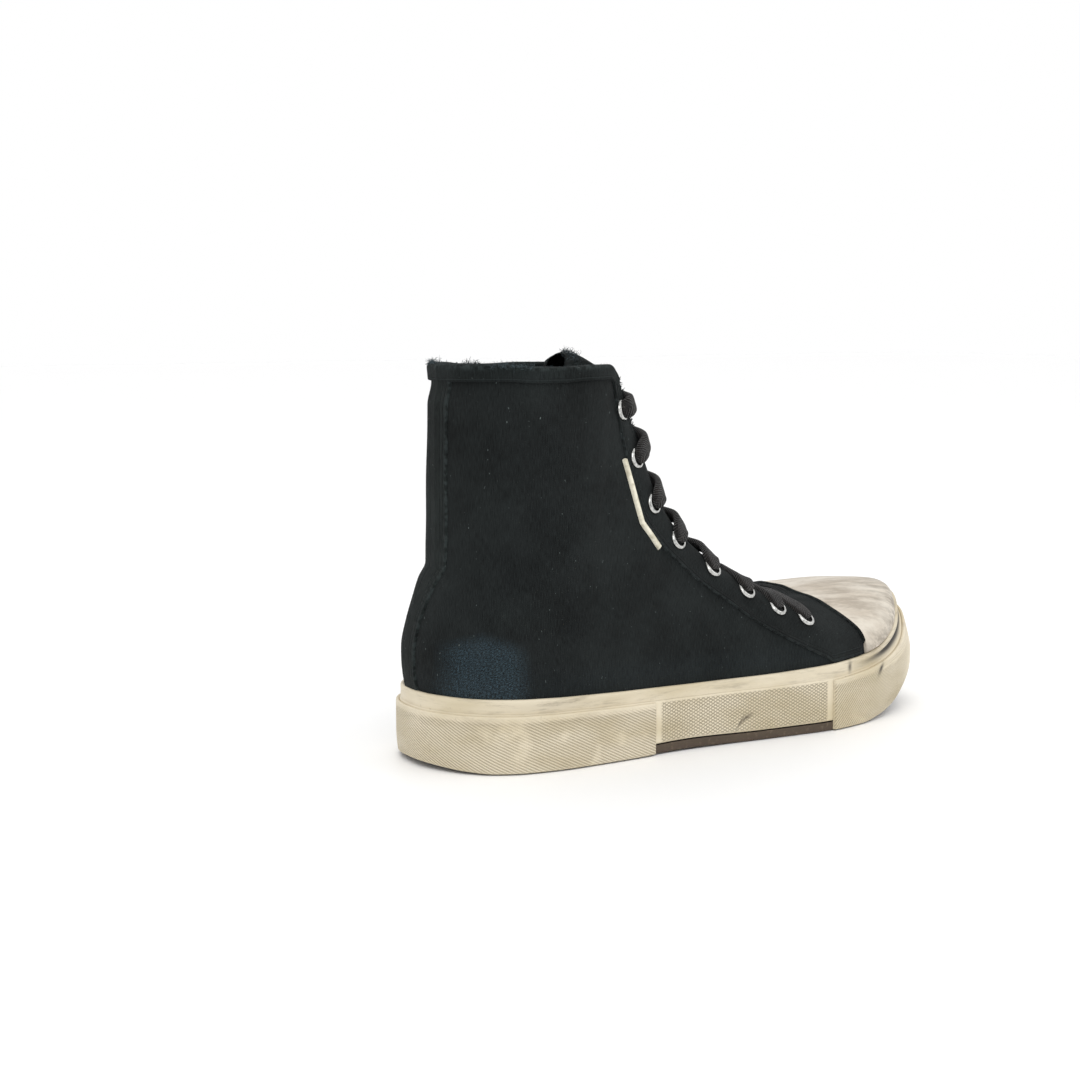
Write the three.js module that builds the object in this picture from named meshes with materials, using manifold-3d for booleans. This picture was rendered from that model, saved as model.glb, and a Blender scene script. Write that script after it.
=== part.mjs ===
// Canvas high top sneaker for the right foot, standing empty on its sole.
// Millimetres. While it is built, X runs from the heel's back to the toe, Y to the inner side of the
// foot from the heel's centre line, and Z up from the floor.

import * as THREE from "three";
import { mergeVertices } from "three/addons/utils/BufferGeometryUtils.js";
import Module from "manifold-3d";

// Driving sizes of the last and the sole
const LENGTH = 287; // sole, from the heel's back to the toe's tip
const BALL_WIDTH = 102; // sole, across the ball of the foot
const HEEL_WIDTH = 84; // sole, across the heel
const FEATHER_HEIGHT = 32; // top of the foxing at the heel, above the floor
const VAMP_HEIGHT = 60; // top of the vamp where the throat starts
const COLLAR_HEIGHT = 171; // rim at the back of the heel
const THROAT_START = 197; // front end of the throat, from the heel's back
const COLLAR_BACK = 14; // rim at the back of the heel, from the heel's back
const THROAT_WIDTH = 44; // between the two throat edges, at the lowest eyelets
const COLLAR_WIDTH = 62; // across the widest place of the rim
const INNER_FULLNESS = 0.75; // power that fills out the vamp on the inner side of the foot
const TOE_SPRING = 13; // lift of the sole's underside at the tip
const ARCH_LIFT = 0.6; // lift of the underside between heel and ball
const HEEL_BEVEL = 2.2; // lift of the underside at the heel's back
const TUCK = 5; // how far the foot of the toe's bumper curves in
const TUCK_HEIGHT = 11; // height of that curve
const LEAN = 7.5; // how far the foxing leans in over the toe
const LEAN_START = 28; // height where the lean starts
const LEAN_REACH = 26; // height of the lean above its start

// Thicknesses and clearances
const OUTSOLE = 4.2; // rubber plate
const FILLING = 5; // floor of the midsole tray
const INSOLE = 4; // footbed
const WRAP = 1.3; // heel and toe wraps
const FOXING = 3.9; // outline of the sole to the upper's outer face
const WALL = 2; // upper
const TONGUE = 2.4; // tongue
const GAP = 0.3; // between pieces that are bonded or sewn
const PANEL = 1.2; // eyestays and heel stay
const CAP = 1.3; // toe cap
const BAND = 1.7; // raised band along the toe cap's rear edge
const BAND_WIDTH = 3.4;
const TRIM = 1.0; // cream strip on the outer eyestay
const TRIM_WIDTH = 2.2;
const BINDING = 0.9; // each layer of the folded binding
const SKIN_FOOT = 0.5; // overlays end this far above the foxing

// Eyelets and laces
const EYELET_FLANGE = 4.7; // radius
const EYELET_BORE = 2.5; // radius
const EYELET_BARREL = 3.0; // radius
const EYELET_HOLE = 3.8; // radius of the hole in the eyestay and the upper
const LACE_WIDTH = 7.5;
const LACE_THICKNESS = 1.5;
const LACE_CLEAR = 0.5; // lace to canvas, tongue and eyelets
const TREAD_DEPTH = 1; // grooves across the underside
const TREAD_WIDTH = 2.4;
const TREAD_PITCH = 13;

const COLUMNS = 46; // columns around the upper and the sole, even
const COLLAR_CORNER = 124; // angle of the front corner of the collar, in degrees from the toe

// Outline of the sole. along: share of the length; outer, inner: half widths as a share of the
// local width; ball: how far the local width is the ball's rather than the heel's.
const OUTLINE = [
  { along: 0.0, outer: 0.0, inner: 0.0, ball: 0 },
  { along: 0.01, outer: 0.16, inner: 0.225, ball: 0 },
  { along: 0.035, outer: 0.32, inner: 0.36, ball: 0 },
  { along: 0.07, outer: 0.43, inner: 0.44, ball: 0 },
  { along: 0.12, outer: 0.5, inner: 0.475, ball: 0 },
  { along: 0.2, outer: 0.53, inner: 0.48, ball: 0 },
  { along: 0.28, outer: 0.528, inner: 0.46, ball: 0 },
  { along: 0.38, outer: 0.485, inner: 0.415, ball: 0.3 },
  { along: 0.48, outer: 0.47, inner: 0.405, ball: 0.6 },
  { along: 0.58, outer: 0.47, inner: 0.44, ball: 0.9 },
  { along: 0.68, outer: 0.48, inner: 0.49, ball: 1 },
  { along: 0.76, outer: 0.45, inner: 0.52, ball: 1 },
  { along: 0.84, outer: 0.385, inner: 0.49, ball: 1 },
  { along: 0.91, outer: 0.29, inner: 0.415, ball: 1 },
  { along: 0.96, outer: 0.185, inner: 0.305, ball: 1 },
  { along: 0.99, outer: 0.08, inner: 0.175, ball: 1 },
  { along: 1.0, outer: -0.04, inner: 0.04, ball: 1 },
];

// Side of the sole. bevel, arch, spring, tuck and lean: shares of the sizes of those names; feather
// and wrap: tops of the foxing and of the wraps, as shares of the feather height.
const SIDE = [
  { along: 0.0, bevel: 1, arch: 0, spring: 0, tuck: 0.25, lean: 0, feather: 1.01, wrap: 0.79 },
  { along: 0.03, bevel: 0.35, arch: 0, spring: 0, tuck: 0.15, lean: 0, feather: 1.005, wrap: 0.79 },
  { along: 0.07, bevel: 0, arch: 0, spring: 0, tuck: 0.05, lean: 0, feather: 1.0, wrap: 0.785 },
  { along: 0.2, bevel: 0, arch: 0, spring: 0, tuck: 0, lean: 0, feather: 0.97, wrap: 0.765 },
  { along: 0.3, bevel: 0, arch: 0, spring: 0, tuck: 0, lean: 0, feather: 0.945, wrap: 0.745 },
  { along: 0.42, bevel: 0, arch: 1, spring: 0, tuck: 0, lean: 0, feather: 0.925, wrap: 0.73 },
  { along: 0.54, bevel: 0, arch: 0, spring: 0, tuck: 0, lean: 0, feather: 0.93, wrap: 0.73 },
  { along: 0.68, bevel: 0, arch: 0, spring: 0, tuck: 0, lean: 0, feather: 0.97, wrap: 0.745 },
  { along: 0.76, bevel: 0, arch: 0, spring: 0, tuck: 0.05, lean: 0, feather: 1.01, wrap: 0.79 },
  { along: 0.82, bevel: 0, arch: 0, spring: 0.12, tuck: 0.2, lean: 0.15, feather: 1.07, wrap: 0.86 },
  { along: 0.89, bevel: 0, arch: 0, spring: 0.4, tuck: 0.5, lean: 0.5, feather: 1.28, wrap: 1.02 },
  { along: 0.95, bevel: 0, arch: 0, spring: 0.7, tuck: 0.8, lean: 0.85, feather: 1.58, wrap: 1.27 },
  { along: 1.0, bevel: 0, arch: 0, spring: 1, tuck: 1, lean: 1, feather: 1.78, wrap: 1.52 },
];

// Upper rim: the throat from its front end to the collar's corner, then the collar to the heel.
// angle: column in degrees from the toe; fore: share of the way from COLLAR_BACK to THROAT_START;
// open: share of half the width of the throat, or of the collar; lean: shift of the throat to the
// inner side, as a share of its width; rise: share of the way from VAMP_HEIGHT to COLLAR_HEIGHT.
const THROAT = [
  { angle: 0, fore: 1.0, open: 0, lean: 0.12, rise: 0.01 },
  { angle: 12, fore: 1.0, open: 0.3, lean: 0.12, rise: 0.01 },
  { angle: 24, fore: 0.995, open: 0.6, lean: 0.11, rise: 0.0 },
  { angle: 36, fore: 0.975, open: 0.84, lean: 0.09, rise: -0.01 },
  { angle: 48, fore: 0.935, open: 0.99, lean: 0.07, rise: -0.01 },
  { angle: 58, fore: 0.88, open: 1.02, lean: 0.04, rise: 0.01 },
  { angle: 68, fore: 0.805, open: 1, lean: 0.02, rise: 0.07 },
  { angle: 78, fore: 0.72, open: 0.95, lean: 0.01, rise: 0.165 },
  { angle: 87, fore: 0.64, open: 0.9, lean: 0, rise: 0.275 },
  { angle: 95, fore: 0.58, open: 0.86, lean: 0, rise: 0.385 },
  { angle: 102, fore: 0.54, open: 0.84, lean: 0, rise: 0.5 },
  { angle: 108, fore: 0.515, open: 0.82, lean: 0, rise: 0.615 },
  { angle: 114, fore: 0.485, open: 0.82, lean: 0, rise: 0.74 },
  { angle: 119.5, fore: 0.452, open: 0.83, lean: 0, rise: 0.87 },
  { angle: 124, fore: 0.428, open: 0.88, lean: 0, rise: 0.965 },
];
const COLLAR = [
  { angle: 129, fore: 0.39, open: 0.78, rise: 0.995 },
  { angle: 136, fore: 0.318, open: 0.94, rise: 0.995 },
  { angle: 144, fore: 0.235, open: 1, rise: 0.99 },
  { angle: 152, fore: 0.157, open: 0.95, rise: 0.992 },
  { angle: 160, fore: 0.09, open: 0.82, rise: 1.0 },
  { angle: 168, fore: 0.035, open: 0.56, rise: 1.0 },
  { angle: 174, fore: 0.009, open: 0.29, rise: 1 },
  { angle: 180, fore: 0, open: 0, rise: 1 },
];

// Columns of the upper from the feather line, v = 0, to the rim, v = 1, at five places around the
// foot. fore, side, up: shares of the way from the column's foot to its top.
const PROFILE = [
  {
    angle: 0, // toe
    rows: [
      { v: 0, fore: 0, side: 0, up: 0 },
      { v: 0.06, fore: 0.02, side: 0.02, up: 0.26 },
      { v: 0.12, fore: 0.05, side: 0.05, up: 0.5 },
      { v: 0.2, fore: 0.11, side: 0.1, up: 0.72 },
      { v: 0.28, fore: 0.18, side: 0.16, up: 0.86 },
      { v: 0.385, fore: 0.28, side: 0.26, up: 0.96 },
      { v: 0.46, fore: 0.36, side: 0.35, up: 1.0 },
      { v: 0.56, fore: 0.48, side: 0.48, up: 1.03 },
      { v: 0.67, fore: 0.61, side: 0.61, up: 1.03 },
      { v: 0.78, fore: 0.75, side: 0.75, up: 1.02 },
      { v: 0.88, fore: 0.87, side: 0.87, up: 1.01 },
      { v: 1, fore: 1, side: 1, up: 1 },
    ],
  },
  {
    angle: 52, // corner of the toe cap
    rows: [
      { v: 0, fore: 0, side: 0, up: 0 },
      { v: 0.06, fore: 0.01, side: 0, up: 0.13 },
      { v: 0.12, fore: 0.035, side: 0.02, up: 0.26 },
      { v: 0.2, fore: 0.09, side: 0.07, up: 0.4 },
      { v: 0.28, fore: 0.17, side: 0.15, up: 0.51 },
      { v: 0.385, fore: 0.29, side: 0.28, up: 0.63 },
      { v: 0.46, fore: 0.38, side: 0.38, up: 0.71 },
      { v: 0.56, fore: 0.5, side: 0.52, up: 0.8 },
      { v: 0.67, fore: 0.63, side: 0.66, up: 0.88 },
      { v: 0.78, fore: 0.76, side: 0.79, up: 0.94 },
      { v: 0.88, fore: 0.87, side: 0.89, up: 0.975 },
      { v: 1, fore: 1, side: 1, up: 1 },
    ],
  },
  {
    angle: 80, // instep
    rows: [
      { v: 0, fore: 0, side: 0, up: 0 },
      { v: 0.06, fore: 0.04, side: -0.01, up: 0.08 },
      { v: 0.12, fore: 0.09, side: 0.0, up: 0.16 },
      { v: 0.2, fore: 0.16, side: 0.03, up: 0.27 },
      { v: 0.28, fore: 0.24, side: 0.08, up: 0.37 },
      { v: 0.385, fore: 0.34, side: 0.17, up: 0.49 },
      { v: 0.46, fore: 0.42, side: 0.25, up: 0.57 },
      { v: 0.56, fore: 0.52, side: 0.38, up: 0.68 },
      { v: 0.67, fore: 0.64, side: 0.53, up: 0.79 },
      { v: 0.78, fore: 0.76, side: 0.69, up: 0.88 },
      { v: 0.88, fore: 0.87, side: 0.84, up: 0.95 },
      { v: 1, fore: 1, side: 1, up: 1 },
    ],
  },
  {
    angle: 115, // ankle
    rows: [
      { v: 0, fore: 0, side: 0, up: 0 },
      { v: 0.06, fore: 0.05, side: -0.02, up: 0.06 },
      { v: 0.12, fore: 0.1, side: 0.0, up: 0.12 },
      { v: 0.2, fore: 0.17, side: 0.06, up: 0.2 },
      { v: 0.28, fore: 0.25, side: 0.13, up: 0.28 },
      { v: 0.385, fore: 0.35, side: 0.22, up: 0.385 },
      { v: 0.46, fore: 0.42, side: 0.27, up: 0.46 },
      { v: 0.56, fore: 0.52, side: 0.35, up: 0.56 },
      { v: 0.67, fore: 0.63, side: 0.45, up: 0.67 },
      { v: 0.78, fore: 0.74, side: 0.58, up: 0.79 },
      { v: 0.88, fore: 0.84, side: 0.74, up: 0.9 },
      { v: 1, fore: 1, side: 1, up: 1 },
    ],
  },
  {
    angle: 180, // heel
    rows: [
      { v: 0, fore: 0, side: 0, up: 0 },
      { v: 0.06, fore: -0.15, side: 0.06, up: 0.06 },
      { v: 0.12, fore: -0.17, side: 0.12, up: 0.12 },
      { v: 0.2, fore: 0.0, side: 0.2, up: 0.2 },
      { v: 0.28, fore: 0.3, side: 0.28, up: 0.28 },
      { v: 0.335, fore: 0.56, side: 0.335, up: 0.335 },
      { v: 0.385, fore: 0.9, side: 0.385, up: 0.385 },
      { v: 0.46, fore: 0.88, side: 0.46, up: 0.46 },
      { v: 0.67, fore: 0.88, side: 0.67, up: 0.67 },
      { v: 0.88, fore: 0.9, side: 0.88, up: 0.88 },
      { v: 0.95, fore: 1.08, side: 0.95, up: 0.95 },
      { v: 1, fore: 1, side: 1, up: 1 },
    ],
  },
];

// Rear edge of the toe cap from the outer side over the top to the inner side. along: share of the
// length; side: share of half the ball width, the inner side positive.
const CAP_EDGE = [
  { along: 0.84, side: -1.3 },
  { along: 0.8, side: -0.88 },
  { along: 0.767, side: -0.73 },
  { along: 0.746, side: -0.59 },
  { along: 0.731, side: -0.43 },
  { along: 0.72, side: -0.2 },
  { along: 0.719, side: 0.08 },
  { along: 0.72, side: 0.36 },
  { along: 0.731, side: 0.61 },
  { along: 0.746, side: 0.78 },
  { along: 0.767, side: 0.93 },
  { along: 0.794, side: 1.08 },
  { along: 0.84, side: 1.5 },
];

// Rear seam of both eyestays, seen from the side. fore: share of the way from COLLAR_BACK to
// THROAT_START; rise: share of the way from VAMP_HEIGHT to COLLAR_HEIGHT.
const SEAM = [
  { fore: 0.405, rise: 1.15 },
  { fore: 0.405, rise: 0.946 },
  { fore: 0.433, rise: 0.64 },
  { fore: 0.4755, rise: 0.387 },
  { fore: 0.5304, rise: 0.279 },
  { fore: 0.672, rise: 0.082 },
  { fore: 0.852, rise: -0.117 },
  { fore: 1.043, rise: -0.271 },
  { fore: 1.1, rise: -0.325 },
];
const TRIM_FROM = 2; // rows of the seam between which the cream strip lies
const TRIM_TO = 4;

// Heel stay seen from behind. rise: share of the collar's height; outer, inner: its two edges as
// shares of half the heel width.
const STAY = [
  { rise: 0.1, outer: 0.04, inner: 0.36 },
  { rise: 0.19, outer: 0.03, inner: 0.35 },
  { rise: 0.35, outer: 0.0, inner: 0.3 },
  { rise: 0.55, outer: -0.17, inner: 0.19 },
  { rise: 1.1, outer: -0.18, inner: 0.18 },
];

// Eyelets seen from the side, fore and rise as for the seam
const EYELETS = [
  { fore: 0.951, rise: -0.07 },
  { fore: 0.869, rise: -0.015 },
  { fore: 0.783, rise: 0.063 },
  { fore: 0.689, rise: 0.163 },
  { fore: 0.5885, rise: 0.291 },
  { fore: 0.513, rise: 0.445 },
  { fore: 0.468, rise: 0.63 },
  { fore: 0.433, rise: 0.823 },
];

// Heights of the rows of the upper's grid
const ROWS = [0, 0.06, 0.13, 0.22, 0.31, 0.385, 0.5, 0.64, 0.77, 0.88, 0.95, 1];

const wasm = await Module();
wasm.setup();

const mix = (a, b, t) => a + (b - a) * t;

// A smooth curve through a table's points that never overshoots between them.
function curve(points) {
  const n = points.length;
  const slope = [];
  for (let i = 0; i < n - 1; i++) {
    slope.push((points[i + 1][1] - points[i][1]) / (points[i + 1][0] - points[i][0]));
  }
  const tangent = points.map((p, i) => {
    if (i === 0) return slope[0];
    if (i === n - 1) return slope[n - 2];
    const [before, after] = [slope[i - 1], slope[i]];
    return before * after <= 0 ? 0 : (2 * before * after) / (before + after);
  });
  return (x) => {
    let i = 0;
    while (i < n - 2 && x > points[i + 1][0]) i++;
    const h = points[i + 1][0] - points[i][0];
    const t = Math.min(1, Math.max(0, (x - points[i][0]) / h));
    const [t2, t3] = [t * t, t * t * t];
    return (
      (2 * t3 - 3 * t2 + 1) * points[i][1] +
      (t3 - 2 * t2 + t) * h * tangent[i] +
      (3 * t2 - 2 * t3) * points[i + 1][1] +
      (t3 - t2) * h * tangent[i + 1]
    );
  };
}
const column = (table, key, value) => curve(table.map((row) => [row[key], value(row)]));

// Outline of the sole: angle 0 is the toe's tip, 180 degrees the heel's back, and the inner side of
// the foot lies between them. Half widths run through zero at both ends, so the ends come out round.
const localWidth = (row) => mix(HEEL_WIDTH, BALL_WIDTH, row.ball);
const angleOf = (along) => Math.acos(2 * along - 1);
const outlineRows = OUTLINE.slice().reverse();
const halfRound = (side) =>
  curve(outlineRows.map((row) => [angleOf(row.along), row[side] * localWidth(row)]));
const innerHalf = halfRound("inner");
const outerHalf = halfRound("outer");
const alongOf = (angle) => (1 + Math.cos(angle)) / 2;
function outlinePoint(angle) {
  const inner = angle <= Math.PI;
  const y = inner ? innerHalf(angle) : -outerHalf(2 * Math.PI - angle);
  return new THREE.Vector3(LENGTH * alongOf(angle), y, 0);
}

const lift = column(
  SIDE,
  "along",
  (row) => row.bevel * HEEL_BEVEL + row.arch * ARCH_LIFT + row.spring * TOE_SPRING,
);
const feather = column(SIDE, "along", (row) => row.feather * FEATHER_HEIGHT);
const wrapTop = column(SIDE, "along", (row) => row.wrap * FEATHER_HEIGHT);

const tuck = column(SIDE, "along", (row) => row.tuck * TUCK);
const tuckedIn = (along, height) =>
  tuck(along) * Math.max(0, 1 - (height - lift(along)) / TUCK_HEIGHT) ** 2;

const leant = column(SIDE, "along", (row) => row.lean * LEAN);
const leantIn = (along, height) =>
  leant(along) * Math.max(0, (height - LEAN_START) / LEAN_REACH) ** 1.2;

// Ring of points around the foot, inset from the sole's outline, at a height given for each place.
const STEP = (2 * Math.PI) / COLUMNS;
function ringPoint(angle, inset, height) {
  const tangent = outlinePoint(angle + 0.02).sub(outlinePoint(angle - 0.02 + 2 * Math.PI * (angle < 0.02)));
  const p = outlinePoint(angle);
  const out = new THREE.Vector3(tangent.y, -tangent.x, 0).normalize();
  const along = p.x / LENGTH;
  const z = height(along);
  return p.addScaledVector(out, -inset - tuckedIn(along, z) - leantIn(along, z)).setZ(z);
}
function ring(inset, height) {
  const points = [];
  for (let i = 0; i < COLUMNS; i++) points.push(ringPoint(i * STEP, inset, height));
  return points;
}

// Solid from lists of vertices and triangles, turned so that its faces point out.
function solid(vertices, triangles) {
  let volume = 0;
  for (const [a, b, c] of triangles) {
    volume += vertices[a].dot(new THREE.Vector3().crossVectors(vertices[b], vertices[c]));
  }
  const faces = volume < 0 ? triangles.map(([a, b, c]) => [a, c, b]) : triangles;
  return new wasm.Manifold(
    new wasm.Mesh({
      numProp: 3,
      vertProperties: new Float32Array(vertices.flatMap((p) => [p.x, p.y, p.z])),
      triVerts: new Uint32Array(faces.flat()),
    }),
  );
}

// Solid between closed rings, the first and last of them closed across the foot from side to side.
// The facets' diagonals are mirrored between the two sides of the foot.
function slab(rings) {
  const n = rings[0].length;
  const vertices = rings.flat();
  const triangles = [];
  for (let k = 0; k + 1 < rings.length; k++) {
    for (let i = 0; i < n; i++) {
      const j = (i + 1) % n;
      const [a, b, c, d] = [k * n + i, k * n + j, (k + 1) * n + j, (k + 1) * n + i];
      if (i < n / 2) triangles.push([a, b, d], [b, c, d]);
      else triangles.push([a, b, c], [a, c, d]);
    }
  }
  const close = (base, flip) => {
    const add = (a, b, c) =>
      triangles.push([base + a, ...(flip ? [base + c, base + b] : [base + b, base + c])]);
    for (let i = 0; i < n / 2; i++) {
      const [l0, l1, r0, r1] = [(n - i) % n, n - i - 1, i, i + 1];
      if (l0 !== r0) add(l0, l1, r0);
      if (l1 !== r1) add(r0, l1, r1);
    }
  };
  close(0, false);
  close((rings.length - 1) * n, true);
  return solid(vertices, triangles);
}

// Solid wall between two grids of points, outer[i][j] and inner[i][j], closed around i or with ends.
// mirrored: the facets' diagonals are mirrored between the two sides of the foot.
function wall(outer, inner, closed, mirrored = closed) {
  const [n, m] = [outer.length, outer[0].length];
  const vertices = outer.flat().concat(inner.flat());
  const at = (i, j, within) => (within ? n * m : 0) + (i % n) * m + j;
  const triangles = [];
  const quad = (a, b, c, d) => triangles.push([a, b, c], [a, c, d]);
  const last = closed ? n : n - 1;
  for (let i = 0; i < last; i++) {
    for (let j = 0; j + 1 < m; j++) {
      const [a, b, c, d] = [[i, j], [i + 1, j], [i + 1, j + 1], [i, j + 1]];
      const turned = mirrored && i < last / 2 ? [b, c, d, a] : [a, b, c, d];
      quad(...turned.map(([k, row]) => at(k, row)));
      quad(...[turned[0], turned[3], turned[2], turned[1]].map(([k, row]) => at(k, row, true)));
    }
    quad(at(i + 1, 0), at(i, 0), at(i, 0, true), at(i + 1, 0, true));
    quad(at(i, m - 1), at(i + 1, m - 1), at(i + 1, m - 1, true), at(i, m - 1, true));
  }
  if (!closed) {
    for (let j = 0; j + 1 < m; j++) {
      quad(at(0, j), at(0, j + 1), at(0, j + 1, true), at(0, j, true));
      quad(at(n - 1, j + 1), at(n - 1, j), at(n - 1, j, true), at(n - 1, j + 1, true));
    }
  }
  return solid(vertices, triangles);
}

// Foot and top of each column of the upper
const floorHeight = (along) => lift(along) + OUTSOLE + GAP + FILLING;
const padTop = (along) => floorHeight(along) + GAP + INSOLE;
const rim = THROAT.map((row) => ({
  ...row,
  half: (row.open * THROAT_WIDTH) / 2,
  shift: row.lean * THROAT_WIDTH,
})).concat(COLLAR.map((row) => ({ ...row, half: (row.open * COLLAR_WIDTH) / 2, shift: 0 })));
const rimX = column(rim, "angle", (row) => mix(COLLAR_BACK, THROAT_START, row.fore));
const rimY = column(rim, "angle", (row) => row.half);
const rimShift = column(rim, "angle", (row) => row.shift);
const rimZ = column(rim, "angle", (row) => mix(VAMP_HEIGHT, COLLAR_HEIGHT, row.rise));
const profiles = PROFILE.map((place) => ({
  fore: column(place.rows, "v", (row) => row.fore),
  side: column(place.rows, "v", (row) => row.side),
  up: column(place.rows, "v", (row) => row.up),
}));
const share = (key, degrees, v) =>
  curve(PROFILE.map((place, k) => [place.angle, profiles[k][key](v)]))(degrees);

// A point of the upper's outer face, at a column's angle in radians and a height from 0 to 1.
// Below 0 it is the skirt inside the foxing.
function upperPoint(angle, v) {
  const turn = (angle + 2 * Math.PI) % (2 * Math.PI);
  const inner = turn <= Math.PI;
  const degrees = THREE.MathUtils.radToDeg(inner ? turn : 2 * Math.PI - turn);
  const foot = ringPoint(turn, FOXING, feather);
  const side = (inner ? 1 : -1) * rimY(degrees) + rimShift(degrees);
  const top = new THREE.Vector3(rimX(degrees), side, rimZ(degrees));
  const up = share("up", degrees, v);
  const { smoothstep } = THREE.MathUtils;
  const fullness = smoothstep(degrees, 10, 35) - smoothstep(degrees, 65, 110);
  const filled = inner && up > 0 && up < 1 ? mix(up, up ** INNER_FULLNESS, fullness) : up;
  return new THREE.Vector3(
    mix(foot.x, top.x, share("fore", degrees, v)),
    mix(foot.y, top.y, share("side", degrees, v)),
    mix(foot.z, top.z, filled),
  );
}

// The upper's outer face as a grid, with a normal at each point
const face = [];
for (let i = 0; i < COLUMNS; i++) face.push(ROWS.map((v) => upperPoint(i * STEP, v)));
const faceNormal = face.map((points, i) =>
  points.map((p, j) => {
    const round = face[(i + 1) % COLUMNS][j].clone().sub(face[(i + COLUMNS - 1) % COLUMNS][j]);
    const up = points[Math.min(j + 1, ROWS.length - 1)].clone().sub(points[Math.max(j - 1, 0)]);
    return round.cross(up).normalize();
  }),
);
const offsetFace = (distance) =>
  face.map((points, i) => points.map((p, j) => p.clone().addScaledVector(faceNormal[i][j], distance)));

// Upper: hollow shell with its skirt down to the tray's floor
function upperShell() {
  const heights = [(along) => floorHeight(along) + GAP, (along) => padTop(along) + GAP];
  const skirt = (inset, grid) => {
    const rings = heights.map((height) => ring(inset, height));
    return grid.map((points, i) => [...rings.map((points) => points[i]), ...points]);
  };
  const outer = skirt(FOXING, face);
  const inner = skirt(FOXING + WALL, offsetFace(-WALL));
  return wall(outer, inner, true);
}

// Sole
const SOLE_INSET = WRAP + GAP;
const WRAP_FOOT = 0.5; // wraps end this far above the underside
const HEEL_WRAP_END = 99; // front end of the heel wrap, from the heel's back
const TOE_WRAP_START = 199; // rear end of the toe wrap, from the heel's back
const plateTop = (along) => lift(along) + OUTSOLE;
function outsolePlate() {
  return slab([
    ring(SOLE_INSET + 0.8, lift),
    ring(SOLE_INSET, (along) => lift(along) + 0.8),
    ring(SOLE_INSET, plateTop),
  ]);
}
function midsoleTray() {
  return slab([
    ring(SOLE_INSET, (along) => plateTop(along) + GAP),
    ring(SOLE_INSET, (along) => lift(along) + TUCK_HEIGHT),
    ring(SOLE_INSET, wrapTop),
    ring(SOLE_INSET + 0.3, (along) => wrapTop(along) + 0.5),
    ring(SOLE_INSET + 0.5, (along) => feather(along) - 0.8),
    ring(SOLE_INSET + 1.1, feather),
    ring(FOXING - GAP, feather),
    ring(FOXING - GAP, (along) => padTop(along) + GAP),
    ring(FOXING - GAP, floorHeight),
  ]);
}
// Wrap between two places along the sole, with its lip rolled over at the top
const WRAP_BENDS = [4, TUCK_HEIGHT]; // heights above its foot where it bends
function wrapStrip(from, to) {
  const foot = (along) => lift(along) + WRAP_FOOT;
  const bends = WRAP_BENDS.map((rise) => (along) => foot(along) + rise);
  const heights = [foot, ...bends, (along) => wrapTop(along) - 0.6];
  const columns = (rings) => rings[0].map((_, i) => rings.map((points) => points[i]));
  const outer = columns([...heights.map((height) => ring(0, height)), ring(0.4, wrapTop)]);
  const inner = columns([...heights, wrapTop].map((height) => ring(WRAP, height)));
  const reach = [[from, 0], [to, 0], [to, LENGTH], [from, LENGTH]];
  return wall(outer, inner, true).intersect(prism(reach, "side", -LENGTH, LENGTH));
}
function insolePad() {
  const inset = FOXING + WALL + GAP;
  return slab([
    ring(inset, (along) => floorHeight(along) + GAP),
    ring(inset, padTop),
  ]);
}

// Solid from a geometry
function bodyOf(geometry) {
  geometry.deleteAttribute("normal");
  geometry.deleteAttribute("uv");
  const merged = mergeVertices(geometry, 1e-4);
  const mesh = new wasm.Mesh({
    numProp: 3,
    vertProperties: new Float32Array(merged.attributes.position.array),
    triVerts: new Uint32Array(merged.index.array),
  });
  return new wasm.Manifold(mesh);
}

// Straight prism through a flat outline given as pairs. view names what the outline is drawn on:
// the plan, the side view or the rear view. The prism runs from one coordinate to another.
const AXIS = {
  x: new THREE.Vector3(1, 0, 0),
  y: new THREE.Vector3(0, 1, 0),
  z: new THREE.Vector3(0, 0, 1),
};
const VIEWS = {
  plan: new THREE.Matrix4().makeBasis(AXIS.x, AXIS.y, AXIS.z),
  side: new THREE.Matrix4().makeBasis(AXIS.x, AXIS.z, AXIS.y.clone().negate()),
  rear: new THREE.Matrix4().makeBasis(AXIS.y, AXIS.z, AXIS.x),
};
function prism(outline, view, from, to) {
  const shape = new THREE.Shape(outline.map(([a, b]) => new THREE.Vector2(a, b)));
  const geometry = new THREE.ExtrudeGeometry(shape, { depth: to - from, bevelEnabled: false });
  geometry.translate(0, 0, view === "side" ? -to : from);
  geometry.applyMatrix4(VIEWS[view]);
  return bodyOf(geometry);
}

// The outline of a table's points moved sideways by a distance, to their left
function moved(points, distance) {
  return points.map(([a, b], k) => {
    const before = points[Math.max(k - 1, 0)];
    const after = points[Math.min(k + 1, points.length - 1)];
    const [da, db] = [after[0] - before[0], after[1] - before[1]];
    const length = Math.hypot(da, db);
    return [a - (db / length) * distance, b + (da / length) * distance];
  });
}

// Overlay form: a skin over the upper's outer face between two distances from it
const FAR = 400; // beyond the shoe on every side
function skin(near, far) {
  const raised = (distance) =>
    offsetFace(distance).map((points) => {
      const rise = SKIN_FOOT / points[0].distanceTo(points[1]);
      return [points[0].clone().lerp(points[1], rise), ...points.slice(1)];
    });
  return wall(raised(far), raised(near), true);
}

const capEdge = CAP_EDGE.map((row) => [row.along * LENGTH, (row.side * BALL_WIDTH) / 2]);
const beforeCap = (distance) =>
  prism([...moved(capEdge, distance), [FAR, BALL_WIDTH], [FAR, -BALL_WIDTH]], "plan", 0, FAR);
const toeCap = () => skin(GAP, GAP + CAP).intersect(beforeCap(0));
const capBand = () =>
  skin(GAP, GAP + BAND).intersect(beforeCap(GAP + BAND_WIDTH)).subtract(beforeCap(GAP));

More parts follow.
